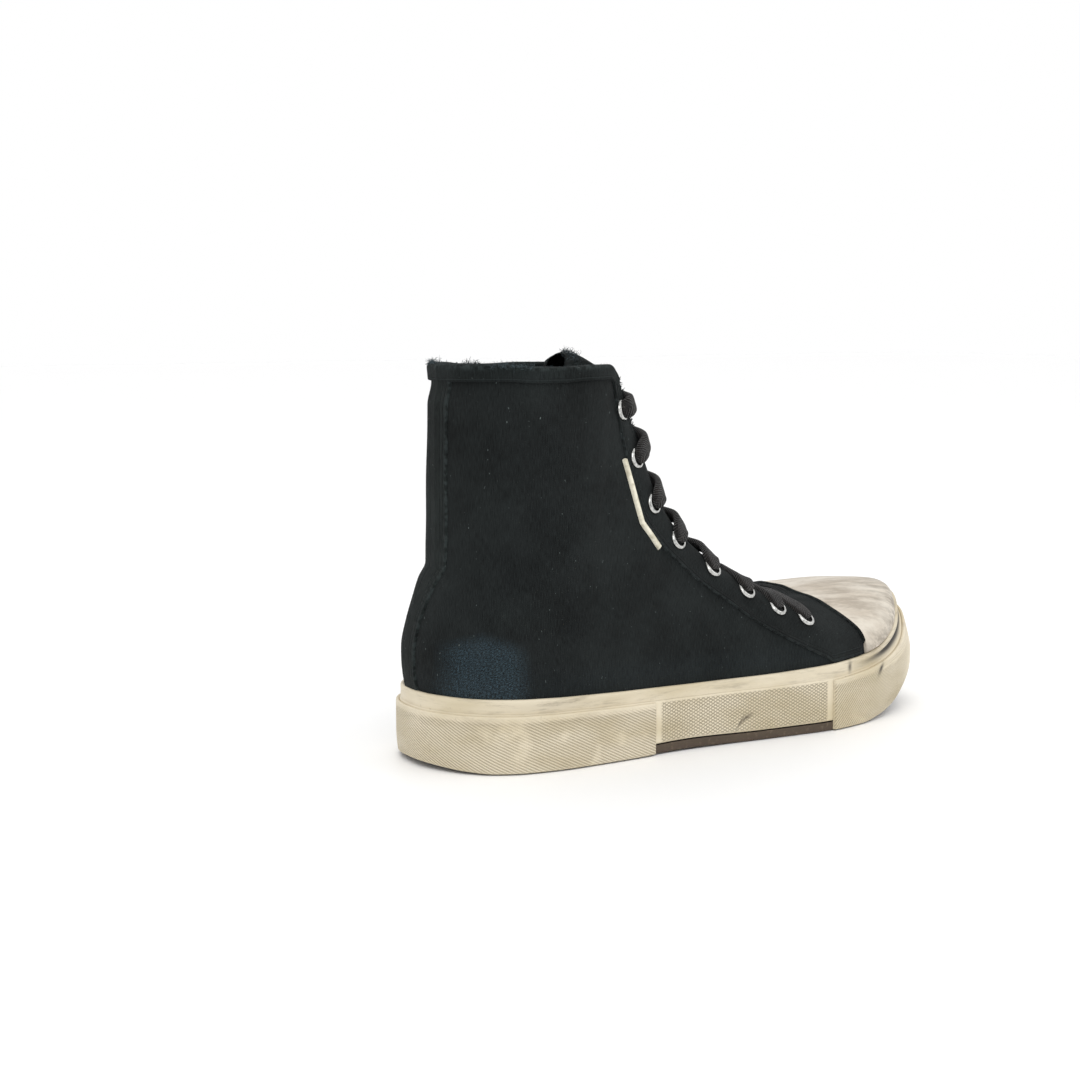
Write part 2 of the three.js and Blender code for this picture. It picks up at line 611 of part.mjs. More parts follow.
// Binding: a fold around the collar's rim between its two front corners
const CORNER = Math.round(COLUMNS * (COLLAR_CORNER / 360)); // its column
const BINDING_ROW = ROWS.length - 2; // row where its edges lie
function collarBinding() {
  const outer = [];
  const inner = [];
  const top = ROWS.length - 1;
  for (let i = CORNER; i <= COLUMNS - CORNER; i++) {
    const [low, high] = [face[i][BINDING_ROW], face[i][top]];
    const rise = high.clone().sub(low).normalize();
    const at = (p, j, distance, up) =>
      p.clone().addScaledVector(faceNormal[i][j], distance).addScaledVector(rise, up);
    const out = GAP + BINDING;
    const within = -WALL - 2 * GAP;
    outer.push([
      at(low, BINDING_ROW, out, 0),
      at(high, top, out, 0),
      at(high, top, out - 0.6, GAP + BINDING),
      at(high, top, within - BINDING + 0.6, GAP + BINDING),
      at(high, top, within - BINDING, 0),
      at(low, BINDING_ROW, within - BINDING, 0),
    ]);
    inner.push([
      at(low, BINDING_ROW, GAP, 0),
      at(high, top, GAP, 0),
      at(high, top, 0, GAP),
      at(high, top, -WALL, GAP),
      at(high, top, within, 0),
      at(low, BINDING_ROW, within, 0),
    ]);
  }
  return wall(outer, inner, false, true);
}
// The form that the panels end under
function underBinding() {
  const outer = [];
  const inner = [];
  const top = ROWS.length - 1;
  for (let i = CORNER - 1; i <= COLUMNS - CORNER + 1; i++) {
    const [low, high] = [face[i][BINDING_ROW], face[i][top]];
    const rise = high.clone().sub(low).normalize();
    const column = (distance) => [
      low.clone().addScaledVector(faceNormal[i][BINDING_ROW], distance).addScaledVector(rise, -GAP),
      high.clone().addScaledVector(faceNormal[i][top], distance).addScaledVector(rise, 4 * GAP),
    ];
    outer.push(column(BAND + 4 * GAP));
    inner.push(column(-GAP));
  }
  const all = wall(outer, inner, false);
  const front = face[CORNER][top].x + BAND;
  return all.intersect(prism([[0, 0], [front, 0], [front, FAR], [0, FAR]], "side", -FAR, FAR));
}

// Eyestays, split in front of the throat on its centre line
const onThroat = (row) => [
  mix(COLLAR_BACK, THROAT_START, row.fore),
  mix(VAMP_HEIGHT, COLLAR_HEIGHT, row.rise),
];
const seam = SEAM.map(onThroat);
const throatCentre = rimShift(0);
function eyestay(inner) {
  const [top, low] = [seam[0], seam[seam.length - 1]];
  const inFront = prism([...seam, [FAR, low[1]], [FAR, FAR], [top[0], FAR]], "side", -FAR, FAR);
  const half = GAP / 2;
  const [from, to] = inner ? [throatCentre + half, FAR] : [-FAR, throatCentre - half];
  const side = prism([[0, 0], [FAR, 0], [FAR, FAR], [0, FAR]], "side", from, to);
  return skin(GAP, GAP + PANEL)
    .intersect(inFront)
    .intersect(side)
    .subtract(beforeCap(2 * GAP + BAND_WIDTH))
    .subtract(underBinding());
}
function trimStrip() {
  const line = seam.slice(TRIM_FROM, TRIM_TO + 1);
  const outline = [...moved(line, -GAP), ...moved(line, -GAP - TRIM_WIDTH).reverse()];
  return skin(GAP, GAP + TRIM).intersect(prism(outline, "side", -FAR, 0));
}
function heelStay() {
  const at = (side) => STAY.map((row) => [(row[side] * HEEL_WIDTH) / 2, row.rise * COLLAR_HEIGHT]);
  const outline = [...at("outer"), ...at("inner").reverse()];
  return skin(GAP, GAP + PANEL)
    .intersect(prism(outline, "rear", -FAR, LENGTH / 2))
    .subtract(underBinding());
}

// The place on the upper's outer face at a point of the side view: the highest one on that side
function onFace(x, z, inner) {
  const target = new THREE.Vector3(x, 0, z);
  const flat = (p) => new THREE.Vector3(p.x, 0, p.z);
  for (let j = ROWS.length - 2; j >= 0; j--) {
    for (let i = 0; i < COLUMNS / 2; i++) {
      const [a, b] = inner ? [i, i + 1] : [COLUMNS - i - 1, (COLUMNS - i) % COLUMNS];
      const corners = [face[a][j], face[b][j], face[b][j + 1], face[a][j + 1]];
      const halves = inner ? [[1, 2, 3], [1, 3, 0]] : [[0, 1, 2], [0, 2, 3]];
      for (const [p, q, r] of halves.map((half) => half.map((k) => corners[k]))) {
        const share = THREE.Triangle.getBarycoord(target, flat(p), flat(q), flat(r), new THREE.Vector3());
        if (share && Math.min(share.x, share.y, share.z) >= 0) {
          const point = new THREE.Vector3()
            .addScaledVector(p, share.x)
            .addScaledVector(q, share.y)
            .addScaledVector(r, share.z);
          const normal = new THREE.Triangle(p, q, r).getNormal(new THREE.Vector3());
          if (normal.y > 0 !== inner) normal.negate();
          return { point, normal };
        }
      }
    }
  }
  throw new Error(`no face at ${x}, ${z}`);
}
const eyelets = [false, true].map((inner) =>
  EYELETS.map((row) => onFace(...onThroat(row), inner)),
);

// A round thing standing on the face at an eyelet, its section lying along the normal
function standing(geometry, { point, normal }) {
  geometry.applyQuaternion(new THREE.Quaternion().setFromUnitVectors(AXIS.y, normal));
  geometry.translate(point.x, point.y, point.z);
  return bodyOf(geometry);
}
const EYELET_SIDES = 8;
const HOLE_SIDES = 6;
const FLANGE_FOOT = GAP + PANEL + 0.9; // underside of the flange above the upper's face
const FLANGE_RISE = 0.9; // thickness of the rolled flange
function eyelet(place) {
  const section = [
    [EYELET_BORE, -WALL - 0.8],
    [EYELET_BARREL, -WALL - 0.8],
    [EYELET_BARREL, FLANGE_FOOT],
    [EYELET_FLANGE, FLANGE_FOOT],
    [EYELET_BORE + 0.6, FLANGE_FOOT + FLANGE_RISE],
    [EYELET_BORE, -WALL - 0.8],
  ];
  const profile = section.map(([r, h]) => new THREE.Vector2(r, h));
  return standing(new THREE.LatheGeometry(profile, EYELET_SIDES), place);
}
const eyeletHole = (place) =>
  standing(new THREE.CylinderGeometry(EYELET_HOLE, EYELET_HOLE, 14, HOLE_SIDES), place);
const pierced = (body, places) =>
  places.reduce((rest, place) => rest.subtract(eyeletHole(place)), body);

// Tongue: from side to side it follows the inside of the upper up to the throat's edge, crosses the
// throat with a slight crown and goes down inside the other edge. Stations run along the throat.
const TUCK_ROWS = [ROWS.length - 3, ROWS.length - 1];
const crownShare = (i) => 0.1 * THREE.MathUtils.smoothstep(i, 4, 9); // of the width across
const CROSS = [0.2, 0.5, 0.8];
const TONGUE_TOP = [
  { back: 5.5, rise: 4.5, narrow: 0.96 },
  { back: 11, rise: 8, narrow: 0.84 },
  { back: 15, rise: 9.2, narrow: 0.62 },
];
const outwards = (i) =>
  faceNormal[i][ROWS.length - 1].clone().add(faceNormal[COLUMNS - i][ROWS.length - 1]).normalize();
function tongueStation(i, thickness) {
  const clear = WALL + 0.9 + (BINDING + GAP) * THREE.MathUtils.smoothstep(i, CORNER - 4, CORNER - 1);
  const edge = (column) =>
    TUCK_ROWS.map((j) =>
      face[column][j].clone().addScaledVector(faceNormal[column][j], -clear - thickness),
    );
  const [outer, inner] = [edge(COLUMNS - i), edge(i)];
  const [left, right] = [outer[outer.length - 1], inner[inner.length - 1]];
  const width = left.distanceTo(right);
  const across = CROSS.map((t) =>
    left.clone().lerp(right, t).addScaledVector(outwards(i), 4 * crownShare(i) * width * t * (1 - t)),
  );
  return [...outer, ...across, ...inner.reverse()];
}
function tongue() {
  const grid = (thickness) => {
    const stations = [];
    for (let i = 1; i <= CORNER; i++) stations.push(tongueStation(i, thickness));
    const last = stations[stations.length - 1];
    for (const { back, rise, narrow } of TONGUE_TOP) {
      stations.push(last.map((p) => new THREE.Vector3(p.x - back, p.y * narrow, p.z + rise)));
    }
    return stations;
  };
  return wall(grid(0), grid(TONGUE), false);
}

// A point over the tongue: station may lie between columns, t goes from the outer to the inner edge
function overTongue(station, t, height) {
  const i = Math.min(CORNER - 1, Math.max(1, Math.floor(station)));
  const at = (k) => {
    const points = tongueStation(k, 0);
    const edge = TUCK_ROWS.length - 1;
    const [left, right] = [points[edge], points[points.length - 1 - edge]];
    const width = left.distanceTo(right);
    const crown = 4 * crownShare(k) * width * t * (1 - t);
    return left.clone().lerp(right, t).addScaledVector(outwards(k), crown + height);
  };
  return at(i).lerp(at(i + 1), station - i);
}
function nearestStation({ point }) {
  const rimOf = (i) => face[COLUMNS - i][ROWS.length - 1];
  let best = { distance: Infinity, station: 1 };
  for (let station = 1; station < CORNER; station += 0.1) {
    const i = Math.floor(station);
    const edge = rimOf(i).clone().lerp(rimOf(i + 1), station - i);
    const distance = edge.distanceTo(point);
    if (distance < best.distance) best = { distance, station };
  }
  return best.station;
}
const stations = eyelets[0].map(nearestStation);

// Lace strand: out of one eyelet, over the throat's edge, across the tongue and in under the other
// edge beside the next eyelet
const LACE_STEPS = 6;
function rimAt(station, inner) {
  const i = Math.floor(station);
  const [a, b] = inner ? [i, i + 1] : [COLUMNS - i, COLUMNS - i - 1];
  const between = (grid) => grid[a][ROWS.length - 1].clone().lerp(grid[b][ROWS.length - 1], station - i);
  return { point: between(face), normal: between(faceNormal).normalize() };
}
function strand(k, inner) {
  const start = eyelets[inner ? 1 : 0][k];
  const [station, next] = [stations[k], stations[k + 1]];
  const side = (t) => (inner ? 1 - t : t);
  const clear = LACE_CLEAR + LACE_THICKNESS / 2;
  const { point: rimPoint, normal: rimNormal } = rimAt(mix(station, next, 0.15), inner);
  const shoulder = onFace(mix(start.point.x, rimPoint.x, 0.5), mix(start.point.z, rimPoint.z, 0.5), inner);
  const above = GAP + PANEL + clear;
  const up = outwards(Math.round(station));
  const path = new THREE.CatmullRomCurve3([
    start.point.clone().addScaledVector(start.normal, FLANGE_FOOT + FLANGE_RISE + clear + 1),
    shoulder.point.clone().addScaledVector(shoulder.normal, above + 2.8),
    rimPoint.clone().addScaledVector(rimNormal, above + 1).addScaledVector(up, 1.2),
    overTongue(mix(station, next, 0.32), side(0.25), clear + 2.2),
    overTongue(mix(station, next, 0.55), side(0.5), clear + 1.5),
    overTongue(mix(station, next, 0.78), side(0.84), clear + 1.1),
  ]);
  const facing = [start.normal, shoulder.normal, rimNormal, up, up, up];
  const [upper, lower] = [[], []];
  for (let n = 0; n <= LACE_STEPS; n++) {
    const t = (n / LACE_STEPS) * (facing.length - 1);
    const k0 = Math.min(Math.floor(t), facing.length - 2);
    const p = path.getPoint(n / LACE_STEPS);
    const along = path.getTangent(n / LACE_STEPS);
    const sideways = along.clone().cross(facing[k0].clone().lerp(facing[k0 + 1], t - k0)).normalize();
    const out = sideways.clone().cross(along).normalize();
    const half = (LACE_WIDTH / 2) * mix(0.6, 1, Math.min(1, t / 2));
    const corner = (s, h) =>
      p.clone().addScaledVector(sideways, s * half).addScaledVector(out, (h * LACE_THICKNESS) / 2);
    upper.push([corner(-1, 1), corner(1, 1)]);
    lower.push([corner(-1, -1), corner(1, -1)]);
  }
  return wall(upper, lower, false);
}

// A crossing: two strands joined where they cross, cut clear of the canvas and the eyelets below
function laceCrossing(k) {
  const canvas = wall(offsetFace(GAP + PANEL + LACE_CLEAR), offsetFace(-WALL - GAP), true);
  const height = 2 * (FLANGE_FOOT + FLANGE_RISE + LACE_CLEAR);
  const radius = EYELET_FLANGE + LACE_CLEAR;
  const around = (place) =>
    standing(new THREE.CylinderGeometry(radius, radius, height, EYELET_SIDES), place);
  const clear = eyelets.flatMap((places) => [around(places[k]), around(places[k + 1])]);
  const crossed = strand(k, false).add(strand(k, true));
  const cut = [canvas, ...clear].reduce((rest, form) => rest.subtract(form), crossed);
  return cut.decompose().sort((a, b) => b.volume() - a.volume())[0];
}

// Grooves across the underside, under the heel and under the ball
const localWidthAt = column(OUTLINE, "along", localWidth);
const TREAD_REACH = 0.36; // half a groove's length as a share of the local width
const TREAD_PLACES = [[0.1, 0.3], [0.58, 0.82]]; // from and to, as shares of the length
function treadGrooves() {
  const grooves = [];
  const groove = (x) => {
    const y = TREAD_REACH * localWidthAt(x / LENGTH);
    const half = TREAD_WIDTH / 2;
    const outline = [[x - half, -y], [x + half, -y], [x + half, y], [x - half, y]];
    grooves.push(prism(outline, "plan", -1, lift(x / LENGTH) + TREAD_DEPTH));
  };
  for (const [from, to] of TREAD_PLACES) {
    for (let x = from * LENGTH; x < to * LENGTH; x += TREAD_PITCH) groove(x);
  }
  return grooves;
}

// Meshes
const FLATNESS = 0.04; // facets flatter than this are one
const CANVAS = 0x222524;
const CREAM = 0xd5cab0;
const shoe = new THREE.Group();
function add(name, body, color, roughness, metalness = 0) {
  const mesh = body.simplify(FLATNESS).getMesh();
  const geometry = new THREE.BufferGeometry();
  geometry.setAttribute("position", new THREE.BufferAttribute(new Float32Array(mesh.vertProperties), 3));
  geometry.setIndex(new THREE.BufferAttribute(new Uint32Array(mesh.triVerts), 1));
  const material = new THREE.MeshStandardMaterial({ color, roughness, metalness });
  const piece = new THREE.Mesh(geometry, material);
  piece.name = name;
  shoe.add(piece);
}

const grooved = treadGrooves().reduce((plate, groove) => plate.subtract(groove), outsolePlate());
add("outsole", grooved, 0x5a4a3c, 0.8);
add("midsole", midsoleTray(), CREAM, 0.6);
add("heel_wrap", wrapStrip(-1, HEEL_WRAP_END), CREAM, 0.6);
add("toe_wrap", wrapStrip(TOE_WRAP_START, LENGTH + 1), CREAM, 0.6);
add("insole", insolePad(), 0x6f6a60, 0.9);
add("upper", pierced(upperShell(), eyelets.flat()), CANVAS, 0.9);
add("toe_cap", toeCap(), CREAM, 0.6);
add("toe_cap_band", capBand(), CANVAS, 0.9);
add("eyestay_outer", pierced(eyestay(false), eyelets[0]), CANVAS, 0.9);
add("eyestay_inner", pierced(eyestay(true), eyelets[1]), CANVAS, 0.9);
add("trim_strip", trimStrip(), CREAM, 0.6);
add("heel_stay", heelStay(), CANVAS, 0.9);
add("collar_binding", collarBinding(), CANVAS, 0.9);
add("tongue", tongue(), CANVAS, 0.9);
eyelets.forEach((places, side) =>
  places.forEach((place, k) => {
    add(`eyelet_${side === 0 ? "outer" : "inner"}_${k + 1}`, eyelet(place), 0xc8c8c6, 0.25, 1);
  }),
);
for (let k = 0; k + 1 < EYELETS.length; k++) {
  add(`lace_crossing_${k + 1}`, laceCrossing(k), 0x2a2624, 0.95);
}

// The origin lies on the floor, under the middle of the shoe's box.
const box = new THREE.Box3().setFromObject(shoe);
shoe.position.set(-(box.min.x + box.max.x) / 2, -(box.min.y + box.max.y) / 2, -box.min.z);

export default shoe;
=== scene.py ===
"""Looks of a worn canvas high top sneaker, for the right foot, over its CAD frame. Metres."""

import math

import bpy
import numpy as np
from mathutils import Matrix, Vector


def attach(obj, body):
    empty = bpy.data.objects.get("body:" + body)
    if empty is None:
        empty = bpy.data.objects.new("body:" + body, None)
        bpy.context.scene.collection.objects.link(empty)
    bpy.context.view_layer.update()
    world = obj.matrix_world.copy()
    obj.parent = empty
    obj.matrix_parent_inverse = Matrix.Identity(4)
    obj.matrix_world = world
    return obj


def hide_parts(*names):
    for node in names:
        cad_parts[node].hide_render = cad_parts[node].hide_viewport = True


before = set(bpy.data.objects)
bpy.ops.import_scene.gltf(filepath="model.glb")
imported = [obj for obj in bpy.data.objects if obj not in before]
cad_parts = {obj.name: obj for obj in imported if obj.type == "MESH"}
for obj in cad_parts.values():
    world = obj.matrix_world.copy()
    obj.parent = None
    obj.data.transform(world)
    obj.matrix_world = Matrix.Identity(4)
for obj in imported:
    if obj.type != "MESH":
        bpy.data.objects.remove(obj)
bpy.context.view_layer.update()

# Camera at the photo's angle: from the outer side, a little from behind and slightly above.
# The square frame is 31.4 degrees wide.
EYE = (-0.5469, -0.7106, 0.1952)
YAW, PITCH = math.radians(33.515), math.radians(6.809)
FOCAL = 1923.2 / 1080


def camera_axes():
    right = Vector((math.cos(YAW), -math.sin(YAW), 0))
    ahead = Vector((math.sin(YAW), math.cos(YAW), 0))
    look = ahead * math.cos(PITCH) - Vector((0, 0, 1)) * math.sin(PITCH)
    return right, right.cross(look), -look


eye = bpy.data.cameras.new("eye")
eye.sensor_width = 36
eye.lens = 36 * FOCAL
eye.clip_start, eye.clip_end = 0.05, 20
camera = bpy.data.objects.new("camera", eye)
turn = Matrix(camera_axes()).transposed().to_4x4()
camera.matrix_world = Matrix.Translation(EYE) @ turn
bpy.context.scene.collection.objects.link(camera)
bpy.context.scene.camera = camera

# Sole: layers of rubber cured around the lasted upper. Its outline and its side come from the
# shoe's own short tables, in millimetres from the heel's back, the heel's centre line and the
# floor. SHIFT is where the frame's origin lies in them.
MM = 0.001
LENGTH, BALL_WIDTH, HEEL_WIDTH = 287, 102, 84
FEATHER_HEIGHT, TOE_SPRING, ARCH_LIFT, HEEL_BEVEL = 32, 13, 0.6, 2.2
TUCK, TUCK_HEIGHT = 5, 11
LEAN, LEAN_START, LEAN_REACH = 7.5, 28, 26
OUTSOLE, WRAP, FOXING, GAP = 4.2, 1.3, 3.9, 0.3
SHIFT = np.array((143.5, 2.1153, 0))
# share of the length, outer half width, inner half width, share of the ball's width
OUTLINE = np.array(
    [
        (0.0, 0.0, 0.0, 0),
        (0.01, 0.16, 0.225, 0),
        (0.035, 0.32, 0.36, 0),
        (0.07, 0.43, 0.44, 0),
        (0.12, 0.5, 0.475, 0),
        (0.2, 0.53, 0.48, 0),
        (0.28, 0.528, 0.46, 0),
        (0.38, 0.485, 0.415, 0.3),
        (0.48, 0.47, 0.405, 0.6),
        (0.58, 0.47, 0.44, 0.9),
        (0.68, 0.48, 0.49, 1),
        (0.76, 0.45, 0.52, 1),
        (0.84, 0.385, 0.49, 1),
        (0.91, 0.29, 0.415, 1),
        (0.96, 0.185, 0.305, 1),
        (0.99, 0.08, 0.175, 1),
        (1.0, -0.04, 0.04, 1),
    ]
)
# share of the length, bevel, arch, spring, tuck, lean, top of the foxing, top of the wraps
SIDE = np.array(
    [
        (0.0, 1, 0, 0, 0.25, 0, 1.01, 0.79),
        (0.03, 0.35, 0, 0, 0.15, 0, 1.005, 0.79),
        (0.07, 0, 0, 0, 0.05, 0, 1.0, 0.785),
        (0.2, 0, 0, 0, 0, 0, 0.97, 0.765),
        (0.3, 0, 0, 0, 0, 0, 0.945, 0.745),
        (0.42, 0, 1, 0, 0, 0, 0.925, 0.73),
        (0.54, 0, 0, 0, 0, 0, 0.93, 0.73),
        (0.68, 0, 0, 0, 0, 0, 0.97, 0.745),
        (0.76, 0, 0, 0, 0.05, 0, 1.01, 0.79),
        (0.82, 0, 0, 0.12, 0.2, 0.15, 1.07, 0.86),
        (0.89, 0, 0, 0.4, 0.5, 0.5, 1.28, 1.02),
        (0.95, 0, 0, 0.7, 0.8, 0.85, 1.58, 1.27),
        (1.0, 0, 0, 1, 1, 1, 1.78, 1.52),
    ]
)


def smooth(xs, ys, x):
    """Value at x of a smooth curve through points that never overshoots them. ys may hold one
    curve for each x, along its last axis."""
    xs, ys, x = (np.asarray(v, float) for v in (xs, ys, x))
    step = np.diff(ys) / np.diff(xs)
    a, b = step[..., :-1], step[..., 1:]
    same = a * b > 0
    middle = np.where(same, 2 * a * b / np.where(same, a + b, 1), 0)
    tangent = np.concatenate([step[..., :1], middle, step[..., -1:]], axis=-1)
    i = np.clip(np.searchsorted(xs, x, side="right") - 1, 0, len(xs) - 2)

    def pick(values, k):
        full = np.broadcast_to(values, x.shape + xs.shape)
        return np.take_along_axis(full, k[..., None], -1)[..., 0]

    h = xs[i + 1] - xs[i]
    t = np.clip((x - xs[i]) / h, 0, 1)
    return (
        (2 * t**3 - 3 * t**2 + 1) * pick(ys, i)
        + (t**3 - 2 * t**2 + t) * h * pick(tangent, i)
        + (3 * t**2 - 2 * t**3) * pick(ys, i + 1)
        + (t**3 - t**2) * h * pick(tangent, i + 1)
    )


def curve(xs, ys):
    return lambda x: smooth(xs, ys, x)


width = HEEL_WIDTH + (BALL_WIDTH - HEEL_WIDTH) * OUTLINE[:, 3]
turns = np.arccos(2 * OUTLINE[::-1, 0] - 1)
outer_half = curve(turns, (OUTLINE[:, 1] * width)[::-1])
inner_half = curve(turns, (OUTLINE[:, 2] * width)[::-1])
lift = curve(SIDE[:, 0], SIDE[:, 1] * HEEL_BEVEL + SIDE[:, 2] * ARCH_LIFT + SIDE[:, 3] * TOE_SPRING)
tuck = curve(SIDE[:, 0], SIDE[:, 4] * TUCK)
lean = curve(SIDE[:, 0], SIDE[:, 5] * LEAN)
feather = curve(SIDE[:, 0], SIDE[:, 6] * FEATHER_HEIGHT)
wrap_top = curve(SIDE[:, 0], SIDE[:, 7] * FEATHER_HEIGHT)


def outline(angle):
    """Plan of the sole: angle 0 is the toe's tip and half a turn the heel's back."""
    angle = np.mod(angle, 2 * math.pi)
    x = LENGTH * (1 + np.cos(angle)) / 2
    y = np.where(angle <= math.pi, inner_half(angle), -outer_half(2 * math.pi - angle))
    return x, y


def ring(angle, inset, height):
    """A point of the sole's side, inset from the outline, at a height above the floor."""
    x, y = outline(angle)
    (ax, ay), (bx, by) = outline(angle + 0.02), outline(angle - 0.02)
    tx, ty = ax - bx, ay - by
    size = np.hypot(tx, ty)
    along = x / LENGTH
    rise = np.clip(1 - (height - lift(along)) / TUCK_HEIGHT, 0, None)
    over = np.clip((height - LEAN_START) / LEAN_REACH, 0, None)
    back = inset + tuck(along) * rise**2 + lean(along) * over**1.2
    return np.stack([x - ty / size * back, y + tx / size * back, height + 0 * x], -1)


def placed(name, data):
    """An object of the scene that holds the data, at the origin."""
    thing = bpy.data.objects.new(name, data)
    bpy.context.scene.collection.objects.link(thing)
    return thing


def lay_uv(mesh, name, uv):
    """Puts one pair of numbers per grid point on the four corners of each face, as a UV map."""
    i, j = np.meshgrid(*(np.arange(size - 1) for size in uv.shape[:2]), indexing="ij")
    corners = [uv[i + a, j + b] for a, b in ((0, 0), (1, 0), (1, 1), (0, 1))]
    mesh.uv_layers.new(name=name).data.foreach_set("uv", np.stack(corners, -2).ravel())


def mesh_from_grid(name, points, uv=None, closed=False, extra=None):
    """Faces between neighbours of a grid of points in millimetres, columns first.
    uv is in millimetres too; extra holds one number per point and attribute."""
    n, m = points.shape[:2]
    i, j = np.meshgrid(np.arange(n if closed else n - 1), np.arange(m - 1), indexing="ij")
    i2 = (i + 1) % n
    quads = np.stack([i * m + j, i2 * m + j, i2 * m + j + 1, i * m + j + 1], -1).reshape(-1, 4)
    mesh = bpy.data.meshes.new(name)
    mesh.vertices.add(n * m)
    mesh.vertices.foreach_set("co", ((points.reshape(-1, 3) - SHIFT) * MM).ravel())
    mesh.loops.add(quads.size)
    mesh.loops.foreach_set("vertex_index", quads.ravel())
    mesh.polygons.add(len(quads))
    mesh.polygons.foreach_set("loop_start", np.arange(len(quads)) * 4)
    mesh.polygons.foreach_set("use_smooth", np.ones(len(quads), bool))
    mesh.update(calc_edges=True)
    if uv is not None:
        lay_uv(mesh, "cloth", np.concatenate([uv, 2 * uv[-1:] - uv[-2:-1]], 0) if closed else uv)
    for key, values in (extra or {}).items():
        mesh.attributes.new(key, "FLOAT", "POINT").data.foreach_set("value", values.ravel())
    return placed(name, mesh)


def arc(points, axis=0):
    """Length along a grid's rows or columns, starting at nought."""
    step = np.linalg.norm(np.diff(points, axis=axis), axis=-1)
    start = np.zeros_like(np.take(step, [0], axis=axis))
    return np.concatenate([start, np.cumsum(step, axis=axis)], axis=axis)


def linear(code):
    """An sRGB hex colour as linear red, green, blue and alpha."""
    parts = [int(code[k : k + 2], 16) / 255 for k in (0, 2, 4)]
    return [c / 12.92 if c < 0.04 else ((c + 0.055) / 1.055) ** 2.4 for c in parts] + [1]


def material(name):
    mat = bpy.data.materials.new(name)
    mat.use_nodes = True
    mat.node_tree.nodes.clear()
    return mat


# kind of node: its name, its inputs in the order that values are given in, its output, settings
NODES = {
    "mix": ("Mix", (0, 6, 7), 2, {"data_type": "RGBA"}),
    "noise": ("TexNoise", ("Vector", "Scale", "Detail", "Roughness"), 0, {}),
    "stretch": ("Mapping", ("Vector", "Scale", "Location"), 0, {}),
    "range": (
        "MapRange",
        ("Value", "From Min", "From Max", "To Min", "To Max"),
        0,
        {"interpolation_type": "SMOOTHSTEP"},
    ),
    "place": ("TexCoord", (), "Object", {}),
    "attribute": ("Attribute", (), "Fac", {}),
    "uv": ("UVMap", (), 0, {}),
    "split": ("SeparateXYZ", (0,), 0, {}),
    "bump": ("Bump", ("Height", "Distance", "Strength", "Normal"), 0, {}),
    "principled": ("BsdfPrincipled", ("Base Color", "Roughness"), 0, {}),
}


def add(mat, kind, *values, inputs=None, **settings):
    """Adds a shader node and gives its output. kind is a row of NODES or an operation of the math
    node. A value is a number, a colour or another node's output; inputs names further ones."""
    row = NODES.get(kind, ("Math", (0, 1, 2), 0, {"operation": kind}))
    made = mat.node_tree.nodes.new("ShaderNode" + row[0])
    for key, value in {**row[3], **settings}.items():
        setattr(made, key, value)
    for key, value in [*zip(row[1], values), *(inputs or {}).items()]:
        if isinstance(value, bpy.types.NodeSocket):
            mat.node_tree.links.new(value, made.inputs[key])
        else:
            made.inputs[key].default_value = value
    return made.outputs[row[2]]


def finish_material(mat, colour, roughness, height=None, distance=0.0002, **more):
    """Principled surface with a bump whose height runs from 0 to 1 over a distance in metres."""
    if height is not None:
        more["Normal"] = add(mat, "bump", height, distance, 1)
    surface = add(mat, "principled", colour, roughness, inputs=more)
    output = mat.node_tree.nodes.new("ShaderNodeOutputMaterial")
    mat.node_tree.links.new(surface, output.inputs["Surface"])
    return mat


def cloth_uv(mat):
    """The millimetre grid of a piece, as two numbers and as one vector."""
    uv = add(mat, "uv", uv_map="cloth")
    parts = add(mat, "split", uv).node.outputs
    return parts[0], parts[1], uv


def waves(mat, value, pitch):
    """A ripple from 0 to 1 that repeats at a pitch."""
    angle = add(mat, "MULTIPLY", value, 2 * math.pi / pitch)
    return add(mat, "MULTIPLY_ADD", add(mat, "SINE", angle), 0.5, 0.5)


def tinted(mat, share, low_code, high_code):
    """Two sRGB colours mixed by a share."""
    return add(mat, "mix", share, linear(low_code), linear(high_code))


def stained(mat, base, where, most, code):
    """A colour laid over a base where a pattern is high, by at most a share."""
    return add(mat, "mix", add(mat, "MULTIPLY", where, most), base, linear(code))


def rubber(name, pattern):
    """Cream rubber with stains, fine pits and grime; pattern adds a relief of its own and painted shade in
    its grooves.
    """
    mat = material(name)
    spot = add(mat, "place")
    s, h, uv = cloth_uv(mat)
    broad = add(mat, "noise", add(mat, "stretch", spot, (22, 22, 60)), 1, 4)
    fine = add(mat, "noise", spot, 900, 3)
    cream = tinted(mat, add(mat, "range", broad, 0.35, 0.7), "ddd2ba", "cabd9f")
    specks = add(mat, "range", add(mat, "noise", spot, 520, 2, 0.7), 0.66, 0.76)
    cream = stained(mat, cream, specks, 0.35, "8f8468")
    grime = add(mat, "attribute", attribute_name="grime")
    patches = add(mat, "noise", add(mat, "stretch", uv, (0.035, 0.3, 1)), 1, 5, 0.75)
    patches = add(mat, "range", patches, 0.47, 0.72)
    film = add(mat, "MULTIPLY", grime, 0.22)
    dirty = add(mat, "MULTIPLY_ADD", add(mat, "MULTIPLY", grime, patches), 0.8, film)
    cream = add(mat, "mix", dirty, cream, linear("766c5c"))
    # dark carries cracks and scuffs, and painted shade in the toe's groove and under the wraps' lip.
    dark = add(mat, "attribute", attribute_name="dark")
    cream = add(mat, "mix", dark, cream, linear("3a352d"))
    relief, pattern_shade = pattern(mat, s, h)
    # Painted shade: darker colour in the pattern's grooves.
    cream = stained(mat, cream, pattern_shade, 0.7, "8a7d63")
    height = add(mat, "MULTIPLY_ADD", fine, 0.12, relief)
    return finish_material(mat, cream, add(mat, "range", broad, 0.3, 0.7, 0.5, 0.68), height, 0.00035)


